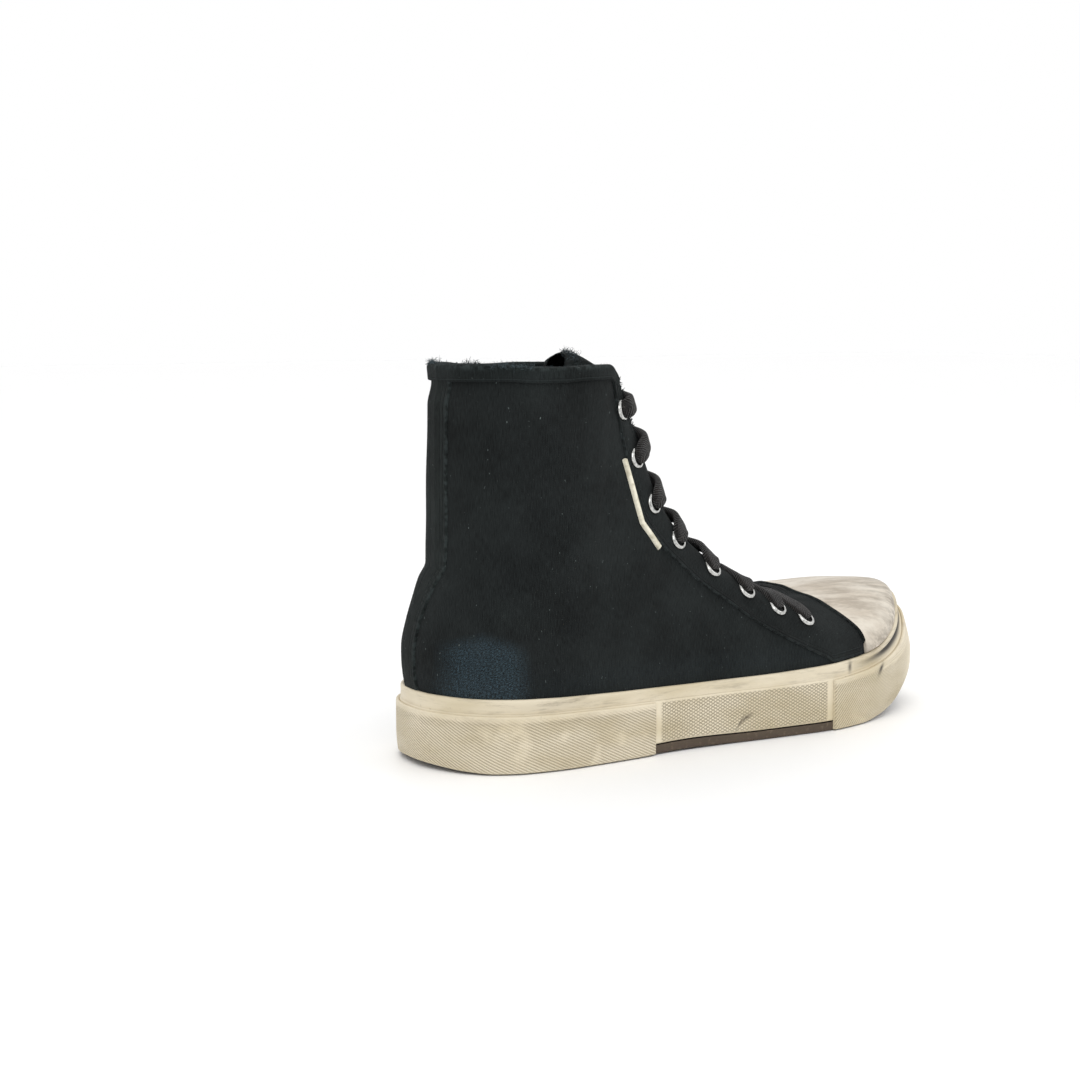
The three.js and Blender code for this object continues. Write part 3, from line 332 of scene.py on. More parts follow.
def slanted(slope, pitch):
    """Fine raised lines that climb or fall along the strip, and a row of beads under its lip."""

    def pattern(mat, s, h):
        line = waves(mat, add(mat, "MULTIPLY_ADD", s, slope, h), pitch)
        wear = add(mat, "range", add(mat, "noise", add(mat, "place"), 60, 3), 0.25, 0.45, 0.35, 1)
        worn = add(mat, "MULTIPLY", add(mat, "attribute", attribute_name="pattern"), wear)
        dots = add(mat, "MULTIPLY", waves(mat, s, 1.3), waves(mat, h, 1.3))
        beads = add(mat, "MULTIPLY", dots, add(mat, "attribute", attribute_name="beads"))
        relief = add(mat, "MULTIPLY_ADD", line, worn, beads)
        # Second value: painted shade in the low parts of the lines, fading where the pattern is worn.
        return relief, add(mat, "MULTIPLY", add(mat, "range", line, 0.05, 0.55, 1, 0), worn)

    return pattern


def diamonds(mat, s, h):
    """Small raised diamonds between two families of crossing grooves."""
    a = waves(mat, add(mat, "MULTIPLY_ADD", s, 0.56, h), 1.5)
    b = waves(mat, add(mat, "MULTIPLY_ADD", s, -0.56, h), 1.5)
    both = add(mat, "range", add(mat, "MINIMUM", a, b), 0.03, 0.3)
    here = add(mat, "attribute", attribute_name="pattern")
    relief = add(mat, "MULTIPLY", both, here)
    # Second value: painted shade in the grooves between the diamonds.
    return relief, add(mat, "MULTIPLY", add(mat, "SUBTRACT", 1, both), here)


HEEL_WRAP_END, TOE_WRAP_START = 99, 199
around = np.linspace(0, 2 * math.pi, 1201)[:-1]
along = (1 + np.cos(around)) / 2
ring_length = arc(np.append(ring(around, 0, 20), ring(around[:1], 0, 20), 0))[:-1]


def sole_section(rows):
    """Grid of rings, one per row of inset and height, with its arc length and height as uv."""
    grid = np.stack([ring(around, inset + 0 * along, height + 0 * along) for inset, height in rows], 1)
    lengths = np.repeat(ring_length[:, None], len(rows), 1)
    uv = np.stack([lengths, grid[..., 2] - lift(along)[:, None]], -1)
    return grid, uv


# Side wall of the midsole: a strip of cream rubber, rolled with diamonds and cured onto the
# canvas. A plain strip above the diamonds holds the dirt, and at the toe a groove runs along it
# with painted shade in it.
low = lift(along) + OUTSOLE + GAP
shelf, top = wrap_top(along), feather(along)
toe_share = np.clip((along - 0.74) / 0.12, 0, 1)
inset0 = WRAP + GAP
rows = [(12, low + 2), (6, low + 0.1), (inset0 + 0.5, low), (inset0, low + 0.5)]
rows += [(inset0, low + (shelf - low) * t) for t in np.linspace(0.06, 0.96, 16)]
rows += [(inset0, shelf), (inset0 + 0.15, shelf + 0.35), (inset0 + 0.5, shelf + 0.6)]
for t in np.linspace(0.1, 0.86, 14):
    groove = np.exp(-(((t - 0.52) / 0.13) ** 2)) * (0.1 + 1.5 * toe_share)
    bead = np.exp(-(((t - 0.84) / 0.12) ** 2)) * 0.5 * toe_share
    rows.append((inset0 + 0.45 + groove - bead, shelf + (top - shelf) * t))
rows += [(inset0 + 0.6, top - 0.45), (inset0 + 0.9, top - 0.12), (inset0 + 1.4, top)]
rows += [(FOXING + 0.2, top - 0.1), (FOXING + 0.4, top - 2)]
grid, uv = sole_section(rows)
x_here = grid[..., 0]
share_up = (grid[..., 2] - shelf[:, None]) / (top - shelf)[:, None]
side_gap = np.minimum(x_here - HEEL_WRAP_END, TOE_WRAP_START - x_here)
panel = np.clip((side_gap - 3.4) / 0.8, 0, 1) * (share_up < -0.06) * (grid[..., 2] - low[:, None] > 0.6)
grime = np.clip((share_up + 0.1) * 3, 0, 1) * (0.45 + 0.3 * toe_share[:, None])
scuffed = np.exp(-(((x_here - 46) / 24) ** 2) - ((share_up - 0.45) / 0.3) ** 2) * (grid[..., 1] < 0)
grime += 0.75 * scuffed
# Painted shade in the groove along the toe.
toe_groove_shade = np.exp(-(((share_up - 0.46) / 0.2) ** 2)) * toe_share[:, None] * 1.25
# A short crack in the rubber on the outer side.
dark_marks = np.exp(-(((x_here - 211) / 1.2) ** 2) - ((grid[..., 2] - 28.5) / 2.5) ** 2) * (grid[..., 1] < 0)
scuff = 0.0
for x0, z0, tilt in ((148, 10.3, 0.9), (150.5, 11.6, 0.4), (146, 9.2, 1.6)):
    along_scuff, across_scuff = x_here - x0, grid[..., 2] - z0 - tilt * (x_here - x0)
    scuff = scuff + np.exp(-((along_scuff / 2.2) ** 2) - (across_scuff / 0.7) ** 2)
dark = np.clip(0.95 * toe_groove_shade + 0.9 * dark_marks + 0.8 * scuff * (grid[..., 1] < 0), 0, 1)
midsole = mesh_from_grid(
    "midsole_side", grid, uv, True, {"pattern": panel, "grime": grime, "dark": dark}
)
midsole.data.materials.append(rubber("foxing rubber with diamonds", diamonds))
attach(midsole, "root")
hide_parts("midsole")


# Heel and toe wraps: cream rubber strips cemented outside the side wall, with a rolled lip,
# slanted lines and a row of fine beads under the lip. The toe's is worn smooth at its tip. A thin
# line of painted shade runs under the lip.
def wrap_strip(name, start, end, slope, pitch):
    """Strip between two angles of the outline, cut off square, its ends turned in."""
    turn = np.linspace(start, end, 700)
    along = outline(turn)[0] / LENGTH
    foot, top = lift(along) + 0.5, wrap_top(along)
    rows = [(WRAP, foot + 3), (WRAP, foot + 0.1), (0.25, foot), (0, foot + 0.4)]
    rows += [(0, foot + 0.4 + (top - foot - 1.2) * t) for t in np.linspace(0.04, 1, 20)]
    rows += [(0.05, top - 0.4), (0.3, top - 0.1), (0.7, top), (WRAP, top - 0.1), (WRAP + 0.3, top - 1)]
    grid = np.stack([ring(turn, inset + 0 * along, height + 0 * along) for inset, height in rows], 1)
    inner = np.stack([ring(turn, WRAP + 0.2 + 0 * along, height + 0 * along) for _, height in rows], 1)
    grid[0], grid[-1] = inner[0], inner[-1]
    grid[1] = grid[1] * 0.8 + inner[1] * 0.2
    grid[-2] = grid[-2] * 0.8 + inner[-2] * 0.2
    s = arc(grid[:, 10])[:, None] + np.zeros(grid.shape[:2])
    height = grid[..., 2] - lift(along)[:, None]
    share_up = height / (top - lift(along))[:, None]
    margin = 0.93 - 0.12 * np.clip((grid[..., 0] - 225) / 30, 0, 1)
    pattern = np.clip((margin - share_up) / 0.03, 0, 1) * np.clip(height / 1.5, 0, 1)
    beads = np.clip((share_up - margin) / 0.02, 0, 1) * np.clip((0.975 - share_up) / 0.02, 0, 1)
    ends = np.clip(np.minimum(s, s[-1] - s) / 1.2, 0, 1)
    worn_toe = np.exp(-(((grid[..., 0] - 283) / 16) ** 2))
    grime = np.clip(share_up * 2.2 - 1.5, 0, 1) * 0.5 + 0.25 * np.clip(1 - height / 3, 0, 1)
    grime += 0.35 * (1 - ends)
    # A short crack on the outer side.
    ahead = grid[..., 0] - 235 - 0.7 * (height - 24)
    dark_marks = np.exp(-((ahead / 1.6) ** 2) - ((height - 23) / 2.2) ** 2)
    dark_marks *= (grid[..., 1] < 0) * 1.2
    # Painted shade: a thin dark line under the rolled lip.
    dark_marks += 0.55 * np.exp(-(((share_up - 0.945) / 0.012) ** 2))
    extra = {"pattern": pattern * ends * (1 - worn_toe), "beads": beads * ends}
    extra.update({"grime": grime, "dark": np.clip(dark_marks, 0, 1)})
    piece = mesh_from_grid(name + "_strip", grid, np.stack([s, height], -1), False, extra)
    piece.data.materials.append(rubber(name + " rubber with slanted lines", slanted(slope, pitch)))
    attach(piece, "root")
    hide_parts(name)


def turn_at(x):
    return math.acos(2 * x / LENGTH - 1)


wrap_strip("heel_wrap", turn_at(HEEL_WRAP_END), 2 * math.pi - turn_at(HEEL_WRAP_END), 0.5, 1.3)
wrap_strip("toe_wrap", -turn_at(TOE_WRAP_START), turn_at(TOE_WRAP_START), -0.95, 1.75)

# Outsole: a moulded plate of brown rubber cemented under the midsole. Its edge shows between
# the wraps, and grooves run across its underside at the heel and under the ball.
TREAD_PITCH, GROOVE_HALF, GROOVE_DEPTH = 13, 1.2, 0.9
TREADS = ((27, 86), (165, 237))
bottom = lift(along)
rows = [(WRAP + GAP + inset, bottom + up) for inset, up in ((0, 0.7), (0.25, 0.2), (0.8, 0))]
rows.insert(0, (WRAP + GAP, low - 0.4))
grid, uv = sole_section(rows)
middle_line = grid[:, -1].copy()
middle_line[:, 1] = 0.5 * (middle_line[:, 1] + middle_line[::-1, 1][np.arange(-1, len(middle_line) - 1)])
across = [grid[:, -1] * (1 - t) + middle_line * t for t in np.linspace(0.02, 1, 24)]
under = np.stack(across, 1)
x, y = under[..., 0], under[..., 1]
in_tread = sum((x > start) & (x < end) for start, end in TREADS)
edge_share = np.linspace(0.02, 1, 24)[None]
phase = np.mod(np.where(x < 120, x - 0.1 * LENGTH, x - 0.58 * LENGTH) + GROOVE_HALF, TREAD_PITCH)
groove = np.clip(1 - np.abs(phase - GROOVE_HALF) / GROOVE_HALF, 0, 1) ** 0.5
groove = groove * in_tread * np.clip((edge_share - 0.2) * 8, 0, 1)
under[..., 2] += groove * GROOVE_DEPTH
grid = np.concatenate([grid, under], 1)
uv = np.concatenate([uv, np.stack([x, y], -1)], 1)
outsole = mesh_from_grid("outsole_plate", grid, uv, True)
# Hard moulded rubber: matt and dusty.
mat = material("brown rubber of the outsole")
spot = add(mat, "place")
tone = add(mat, "noise", add(mat, "stretch", spot, (40, 40, 120)), 1, 4)
brown = tinted(mat, tone, "40352a", "55483a")
dust = add(mat, "range", add(mat, "noise", spot, 500, 3), 0.55, 0.7)
brown = stained(mat, brown, dust, 0.3, "85755e")
outsole.data.materials.append(finish_material(mat, brown, 0.75, add(mat, "noise", spot, 700, 3), 0.0002))
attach(outsole, "root")
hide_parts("outsole")

# Upper: black cotton canvas sewn to one hollow shell and lasted to the sole. It is a grid of
# columns around the foot and heights from the sole's feather line to the rim, with its lining
# inside. Its tables are the shoe's own.
VAMP_HEIGHT, COLLAR_HEIGHT, THROAT_START, COLLAR_BACK = 60, 171, 197, 14
THROAT_WIDTH, COLLAR_WIDTH, INNER_FULLNESS, WALL, FILLING = 44, 62, 0.75, 2, 5
# column in degrees from the toe, way forward, half opening, lean to the inner side, rise
RIM = np.array([
    (0, 1.0, 0, 0.12, 0.01),
    (12, 1.0, 0.3, 0.12, 0.01),
    (24, 0.995, 0.6, 0.11, 0.0),
    (36, 0.975, 0.84, 0.09, -0.01),
    (48, 0.935, 0.99, 0.07, -0.01),
    (58, 0.88, 1.02, 0.04, 0.01),
    (68, 0.805, 1, 0.02, 0.07),
    (78, 0.72, 0.95, 0.01, 0.165),
    (87, 0.64, 0.9, 0, 0.275),
    (95, 0.58, 0.86, 0, 0.385),
    (102, 0.54, 0.84, 0, 0.5),
    (108, 0.515, 0.82, 0, 0.615),
    (114, 0.485, 0.82, 0, 0.74),
    (119.5, 0.452, 0.83, 0, 0.87),
    (124, 0.428, 0.88, 0, 0.965),
    (129, 0.39, 0.78, 0, 0.995),
    (136, 0.318, 0.94, 0, 0.995),
    (144, 0.235, 1, 0, 0.99),
    (152, 0.157, 0.95, 0, 0.992),
    (160, 0.09, 0.82, 0, 1.0),
    (168, 0.035, 0.56, 0, 1.0),
    (174, 0.009, 0.29, 0, 1),
    (180, 0, 0, 0, 1),
])
# columns of the upper at five places in degrees: heights v, then the shares of the way forward,
# sideways and up that the column has gone at each height
PROFILE = {
    0: [
        (0, 0.06, 0.12, 0.2, 0.28, 0.385, 0.46, 0.56, 0.67, 0.78, 0.88, 1),
        (0, 0.02, 0.05, 0.11, 0.18, 0.28, 0.36, 0.48, 0.61, 0.75, 0.87, 1),
        (0, 0.02, 0.05, 0.1, 0.16, 0.26, 0.35, 0.48, 0.61, 0.75, 0.87, 1),
        (0, 0.26, 0.5, 0.72, 0.86, 0.96, 1, 1.03, 1.03, 1.02, 1.01, 1),
    ],
    52: [
        (0, 0.06, 0.12, 0.2, 0.28, 0.385, 0.46, 0.56, 0.67, 0.78, 0.88, 1),
        (0, 0.01, 0.035, 0.09, 0.17, 0.29, 0.38, 0.5, 0.63, 0.76, 0.87, 1),
        (0, 0, 0.02, 0.07, 0.15, 0.28, 0.38, 0.52, 0.66, 0.79, 0.89, 1),
        (0, 0.13, 0.26, 0.4, 0.51, 0.63, 0.71, 0.8, 0.88, 0.94, 0.975, 1),
    ],
    80: [
        (0, 0.06, 0.12, 0.2, 0.28, 0.385, 0.46, 0.56, 0.67, 0.78, 0.88, 1),
        (0, 0.04, 0.09, 0.16, 0.24, 0.34, 0.42, 0.52, 0.64, 0.76, 0.87, 1),
        (0, -0.01, 0, 0.03, 0.08, 0.17, 0.25, 0.38, 0.53, 0.69, 0.84, 1),
        (0, 0.08, 0.16, 0.27, 0.37, 0.49, 0.57, 0.68, 0.79, 0.88, 0.95, 1),
    ],
    115: [
        (0, 0.06, 0.12, 0.2, 0.28, 0.385, 0.46, 0.56, 0.67, 0.78, 0.88, 1),
        (0, 0.05, 0.1, 0.17, 0.25, 0.35, 0.42, 0.52, 0.63, 0.74, 0.84, 1),
        (0, -0.02, 0, 0.06, 0.13, 0.22, 0.27, 0.35, 0.45, 0.58, 0.74, 1),
        (0, 0.06, 0.12, 0.2, 0.28, 0.385, 0.46, 0.56, 0.67, 0.79, 0.9, 1),
    ],
    180: [
        (0, 0.06, 0.12, 0.2, 0.28, 0.335, 0.385, 0.46, 0.67, 0.88, 0.95, 1),
        (0, -0.15, -0.17, 0, 0.3, 0.56, 0.9, 0.88, 0.88, 0.9, 1.08, 1),
        (0, 0.06, 0.12, 0.2, 0.28, 0.335, 0.385, 0.46, 0.67, 0.88, 0.95, 1),
        (0, 0.06, 0.12, 0.2, 0.28, 0.335, 0.385, 0.46, 0.67, 0.88, 0.95, 1),
    ],
}
half_width = np.where(RIM[:, 0] < 125, THROAT_WIDTH, COLLAR_WIDTH) / 2 * RIM[:, 2]


def sheet_point(angle, v):
    """Outer face of the upper, smooth: each column goes from its foot to its top by the shares
    of forward, sideways and upward way at its place around the foot."""
    angle, v = np.broadcast_arrays(np.asarray(angle, float), np.asarray(v, float))
    turn = np.mod(angle, 2 * math.pi)
    inner = turn <= math.pi
    degrees = np.degrees(np.where(inner, turn, 2 * math.pi - turn))
    foot = ring(turn, FOXING, feather(outline(turn)[0] / LENGTH))
    share = [
        smooth(
            list(PROFILE),
            np.stack([smooth(rows[0], rows[k], v) for rows in PROFILE.values()], -1),
            degrees,
        )
        for k in (1, 2, 3)
    ]
    top_x = COLLAR_BACK + (THROAT_START - COLLAR_BACK) * smooth(RIM[:, 0], RIM[:, 1], degrees)
    top_y = np.where(inner, 1, -1) * smooth(RIM[:, 0], half_width, degrees)
    top_y = top_y + smooth(RIM[:, 0], RIM[:, 3] * THROAT_WIDTH, degrees)
    top_z = VAMP_HEIGHT + (COLLAR_HEIGHT - VAMP_HEIGHT) * smooth(RIM[:, 0], RIM[:, 4], degrees)
    step_in = lambda a, b: np.clip((degrees - a) / (b - a), 0, 1)
    ramp = lambda t: t * t * (3 - 2 * t)
    fullness = np.where(inner, ramp(step_in(10, 35)) - ramp(step_in(65, 110)), 0)
    up = share[2]
    body = np.clip(up, 1e-6, 1)
    up = np.where((up > 0) & (up < 1), up + fullness * (body**INNER_FULLNESS - up), up)
    return np.stack(
        [
            foot[..., 0] + (top_x - foot[..., 0]) * share[0],
            foot[..., 1] + (top_y - foot[..., 1]) * share[1],
            foot[..., 2] + (top_z - foot[..., 2]) * up,
        ],
        -1,
    )


def sheet_frame(angle, v):
    """Point, outward normal and upward direction of the smooth face."""
    d = 0.004
    high, low_v = np.minimum(v + d, 1), np.maximum(v - d, 0)
    round_way = sheet_point(angle + d, v) - sheet_point(angle - d, v)
    up_way = sheet_point(angle, high) - sheet_point(angle, low_v)
    normal = np.cross(round_way, up_way)
    normal /= np.linalg.norm(normal, axis=-1, keepdims=True) + 1e-9
    up_way /= np.linalg.norm(up_way, axis=-1, keepdims=True) + 1e-9
    return sheet_point(angle, v), normal, up_way


# Soft folds, in side view of each side: ends of the fold, depth and half width.
FOLDS = [
    ((30, 52), (62, 60), 0.9, 5),
    ((40, 75), (80, 68), 0.8, 6),
    ((28, 98), (66, 84), 0.6, 7),
    ((72, 110), (100, 82), 0.7, 6),
    ((104, 92), (128, 66), 0.9, 6),
    ((128, 78), (146, 48), 0.8, 5),
    ((150, 66), (168, 42), 0.9, 5),
    ((172, 56), (190, 38), 0.8, 4.5),
    ((62, 150), (86, 128), 0.5, 7),
    ((24, 150), (52, 140), -0.6, 9),
    ((100, 60), (140, 44), -0.8, 9),
    ((54, 96), (92, 112), -0.7, 9),
]


def creased(points, normal, amount=1.0):
    """Each fold is a trough (or a ridge where its depth is negative) with a bell section around
    its line, fading towards both ends."""
    x, z = points[..., 0], points[..., 2]
    shift = np.zeros_like(x)
    for (ax, az), (bx, bz), depth, half in FOLDS:
        dx, dz = bx - ax, bz - az
        t = ((x - ax) * dx + (z - az) * dz) / (dx * dx + dz * dz)
        away = np.abs((x - ax) * dz - (z - az) * dx) / math.hypot(dx, dz)
        ends = np.clip(1.3 - np.abs(2 * t - 1) ** 2, 0, 1)
        shift -= depth * ends * np.exp(-((away / half) ** 2))
    waves_over = 0.25 * np.sin(x * 0.11 + z * 0.07) * np.sin(z * 0.09 - x * 0.03 + 1)
    free = np.clip((z - 36) / 8, 0, 1) * amount
    return points + normal * ((shift + waves_over) * free)[..., None]


def face_at(angle, v, height=0.0):
    points, normal, _ = sheet_frame(angle, v)
    return creased(points, normal) + normal * np.asarray(height)[..., None]


def weave(points):
    """Thread grid of the cloth in millimetres: around a capsule in plan, and up then inwards."""
    x, y, z = points[..., 0], np.abs(points[..., 1]), points[..., 2]
    turned = 40 * (np.arctan2(y, 45 - x) - math.pi / 2)
    return np.stack([np.where(x < 45, turned, x - 45), z - 0.9 * y], -1)


def canvas(name, dark_code, light_code, weave_depth=1.0, ribs=0.85):
    """Black woven cloth: ribs, cross threads, lint, a worn bluish patch and pale worn edges."""
    mat = material(name)
    spot = add(mat, "place")
    u, w, uv = cloth_uv(mat)
    wobble = add(mat, "MULTIPLY", add(mat, "noise", uv, 0.35, 2), 0.9)
    rib = waves(mat, add(mat, "ADD", u, wobble), ribs)
    weft = waves(mat, add(mat, "ADD", w, wobble), 0.7)
    slub = add(mat, "noise", add(mat, "stretch", uv, (3.2, 0.22, 1)), 1, 3, 0.7)
    broad = add(mat, "noise", spot, 28, 4, 0.6)
    tone = add(mat, "MULTIPLY_ADD", slub, 0.6, add(mat, "MULTIPLY", broad, 0.4))
    cloth = add(mat, "mix", add(mat, "range", tone, 0.34, 0.66), linear(dark_code), linear(light_code))
    worn = add(mat, "attribute", attribute_name="worn")
    threads = add(mat, "noise", add(mat, "stretch", uv, (1.1, 2.4, 1)), 1, 3, 0.8)
    blue = add(mat, "MULTIPLY", worn, add(mat, "range", threads, 0.42, 0.66))
    cloth = stained(mat, cloth, blue, 0.6, "475d69")
    edge = add(mat, "attribute", attribute_name="edge")
    rubbed = add(mat, "MULTIPLY", edge, add(mat, "range", add(mat, "noise", spot, 420, 3), 0.4, 0.62))
    cloth = stained(mat, cloth, rubbed, 0.4, "434b4b")
    lint = add(mat, "noise", add(mat, "stretch", spot, (900, 900, 500)), 1, 2, 0.6)
    lint = add(mat, "range", lint, 0.735, 0.76)
    cloth = stained(mat, cloth, lint, 0.5, "7c8785")
    thread = add(mat, "MULTIPLY_ADD", rib, 0.6, add(mat, "MULTIPLY", weft, 0.25))
    height = add(mat, "MULTIPLY_ADD", add(mat, "noise", spot, 1500, 2), 0.35, thread)
    return finish_material(
        mat,
        cloth,
        0.92,
        height,
        0.00022 * weave_depth,
        **{"Sheen Weight": 0.02, "Sheen Roughness": 0.5, "Specular IOR Level": 0.1},
    )


body_cloth = canvas("black canvas", "101212", "242828")
turn_count = 480
turns_round = np.linspace(0, 2 * math.pi, turn_count + 1)[:-1][:, None]
levels = 1 - (1 - np.linspace(0, 1, 110)) ** 1.15
outer = face_at(turns_round, levels[None])
skirt = np.stack([ring(turns_round[:, 0], FOXING, outer[:, 0, 2] - drop) for drop in (9, 4, 1.5)], 1)
point, normal, up = sheet_frame(turns_round, np.ones((1, 1)))
fold = np.linspace(0, math.pi, 9)[None, 1:-1]
rim_rows = (
    point
    + normal * (WALL / 2 * (np.cos(fold) - 1))[..., None]
    + up * (WALL / 2 * np.sin(fold))[..., None]
)
inside_levels = np.linspace(1, 0, 30)
lining = face_at(turns_round, inside_levels[None], -WALL)
floor_line = lift(outline(turns_round[:, 0])[0] / LENGTH) + OUTSOLE + GAP + FILLING
bottom_rows = [
    ring(turns_round[:, 0], FOXING + WALL, lining[:, -1, 2] * (1 - t) + (floor_line + 0.8) * t)
    for t in (0.3, 0.7, 1)
]
grid = np.concatenate([skirt, outer, rim_rows, lining, np.stack(bottom_rows, 1)], 1)
uv = weave(grid)
x, y, z = grid[..., 0], grid[..., 1], grid[..., 2]
patch = np.clip((61 - z - 0.35 * np.abs(x - 18)) / 6, 0, 1) * np.clip((x - 4) / 6, 0, 1)
patch = patch * np.clip((37 - x) / 9, 0, 1) * (y < 0)
low_rub = 0.1 * np.exp(-(((z - 36) / 7) ** 2))
row = np.arange(grid.shape[1])[None] + 0 * x
rim_row = skirt.shape[1] + len(levels) + 1
near_rim = np.exp(-(((row - rim_row) / 3.5) ** 2))
upper = mesh_from_grid("upper_shell", grid, uv, True, {"worn": patch + low_rub, "edge": near_rim})
upper.data.materials.append(body_cloth)
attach(upper, "root")
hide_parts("upper")


# Overlays lie on the smooth face: a grid over angle and height, thick in the middle and sunk at
# its edges so that no gap shows.
def locate(targets, axes, angle, v):
    """Angle and height whose point has the wanted two coordinates, by Newton steps."""
    targets = np.asarray(targets, float)
    for _ in range(30):
        miss = sheet_point(angle, v)[:, axes] - targets
        d = 1e-3
        by_angle = (sheet_point(angle + d, v)[:, axes] - sheet_point(angle - d, v)[:, axes]) / (2 * d)
        by_v = (sheet_point(angle, v + d)[:, axes] - sheet_point(angle, v - d)[:, axes]) / (2 * d)
        det = by_angle[:, 0] * by_v[:, 1] - by_angle[:, 1] * by_v[:, 0]
        det = np.where(np.abs(det) < 1e-6, 1e-6, det)
        step_a = (miss[:, 0] * by_v[:, 1] - miss[:, 1] * by_v[:, 0]) / det
        step_v = (miss[:, 1] * by_angle[:, 0] - miss[:, 0] * by_angle[:, 1]) / det
        angle = angle - np.clip(step_a, -0.15, 0.15)
        v = np.clip(v - np.clip(step_v, -0.1, 0.1), 0, 1)
    return angle, v


wide = np.linspace(0, 2 * math.pi, 361)[:, None] + 0 * np.linspace(0, 1, 101)
tall = np.linspace(0, 1, 101)[None] + 0 * wide
dense = sheet_point(wide, tall)


def place_on(targets, axes, allowed):
    """Nearest place of a coarse grid where allowed holds, then made exact."""
    found = []
    for target in np.asarray(targets, float):
        miss = np.linalg.norm(dense[..., axes] - target, axis=-1)
        miss = np.where(allowed, miss, 1e9)
        i, j = np.unravel_index(np.argmin(miss), miss.shape)
        found.append((wide[i, j], tall[i, j]))
    start = np.array(found)
    return locate(targets, axes, start[:, 0], start[:, 1])


def overlay(name, angle, v, thick, mat, round_edge=0.8, sink=0.5, edges=(1, 1, 1, 1), more=None):
    """Grid of angles and heights (first axis along the piece) lifted to its thickness, rounded
    over near each of its four edges that is marked in edges."""
    base = sheet_point(angle, v)
    s, t = arc(base, 0), arc(base, 1)
    gaps = [t, t[:, -1:] - t, s, s[-1:] - s]
    away = np.full(s.shape, 1e9)
    for gap, used in zip(gaps, edges):
        if used:
            away = np.minimum(away, gap)
    share = np.clip(away / round_edge, 0, 1)
    height = np.where(away <= 1e-6, -sink, (thick + sink) * np.sqrt(1 - (1 - share) ** 2) - sink)
    height = np.where(away <= 1e-6, -sink, np.maximum(height, -sink))
    points = face_at(angle, v, height)
    extra = {"edge": np.exp(-((away / 1.3) ** 2)) * 0.9, "worn": 0 * away, "away": np.minimum(away, 20)}
    extra.update(more(points, away, s, t) if more else {})
    piece = mesh_from_grid(name, points, weave(points), False, extra)
    lay_uv(piece.data, "edge", np.stack([s, t], -1))
    piece.data.materials.append(mat)
    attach(piece, "root")
    return piece


def clustered(n, power=0.5):
    """Shares from 0 to 1 that lie closer together near both ends."""
    t = np.linspace(0, 1, n)
    return (1 - power) * t + power * (1 - np.cos(math.pi * t)) / 2


# Toe cap: moulded cream rubber, cemented over the canvas of the toe above the sole. Its rear
# edge is an arch across the toe, given as a share of the length and of half the ball's width.
CAP_EDGE = np.array(
    [
        (0.84, -1.3),
        (0.8, -0.88),
        (0.767, -0.73),
        (0.746, -0.59),
        (0.731, -0.43),
        (0.72, -0.2),
        (0.719, 0.08),
        (0.72, 0.36),
        (0.731, 0.61),
        (0.746, 0.78),
        (0.767, 0.93),
        (0.794, 1.08),
        (0.84, 1.5),
    ]
)
cap_line = CAP_EDGE * (LENGTH, BALL_WIDTH / 2)


def cap_level(angle, behind):
    """Height v at which each column passes under the cap's rear edge, moved back by a distance."""
    levels = np.linspace(0, 1, 400)
    points = sheet_point(np.asarray(angle)[:, None], levels[None])
    edge_x = np.interp(points[..., 1], cap_line[:, 1], cap_line[:, 0])
    passed = points[..., 0] < edge_x - behind
    first = np.argmax(passed, axis=1)
    return np.where(passed.any(axis=1), levels[first], 1)


def softened(values, count):
    """Each value made a weighted mean of its neighbours, with a bell of an odd count of places."""
    bell = np.hanning(count) / np.hanning(count).sum()
    return np.convolve(np.pad(values, count // 2, mode="edge"), bell, mode="valid")


fine_angles = np.linspace(-1.6, 1.6, 1601)
edge_levels = cap_level(fine_angles, 0)
inside_cap = np.flatnonzero(edge_levels > 0.012)
cap_from, cap_to = fine_angles[inside_cap[0]], fine_angles[inside_cap[-1]]
span = cap_from + (cap_to - cap_from) * clustered(260, 0.6)
smooth_levels = softened(edge_levels, 25)
span_levels = np.interp(span, fine_angles, smooth_levels)
t = clustered(120, 0.5)[None]
# Smooth cured rubber: satin, with lengthwise grey smears that are darker towards the front.
cap_mat = material("cream rubber of the toe cap")
spot = add(cap_mat, "place")
broad = add(cap_mat, "noise", add(cap_mat, "stretch", spot, (18, 60, 30), (0.3, 0, 0)), 1, 5, 0.7)
streak = add(cap_mat, "noise", add(cap_mat, "stretch", spot, (30, 260, 120)), 1, 4, 0.75)
cream = tinted(cap_mat, add(cap_mat, "range", broad, 0.3, 0.7), "d6cec0", "b7ab9b")
smear = add(cap_mat, "range", streak, 0.45, 0.62)
smear = add(cap_mat, "MULTIPLY", smear, add(cap_mat, "range", broad, 0.38, 0.6))
cream = stained(cap_mat, cream, smear, 0.42, "83786a")
front = add(cap_mat, "attribute", attribute_name="grime")
dirty = add(cap_mat, "MULTIPLY", front, add(cap_mat, "range", streak, 0.36, 0.6))
cream = stained(cap_mat, cream, dirty, 0.6, "625848")
fine = add(cap_mat, "noise", spot, 800, 3)
finish_material(cap_mat, cream, add(cap_mat, "range", broad, 0.3, 0.7, 0.42, 0.6), fine, 0.00012)


def cap_dirt(points, away, s, t):
    """Grime for the cap: along its foot, and in a band across its front."""
    front = 0.9 * np.exp(-((t / 5) ** 2)) + 0.5 * np.exp(-(((points[..., 0] - 258) / 14) ** 2))
    return {"grime": np.clip(front, 0, 1)}


cap_angle, cap_v = span[:, None] + 0 * t, span_levels[:, None] * t
cap = overlay("toe_cap_rubber", cap_angle, cap_v, 1.5, cap_mat, 1.0, 0.4, more=cap_dirt)
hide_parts("toe_cap")

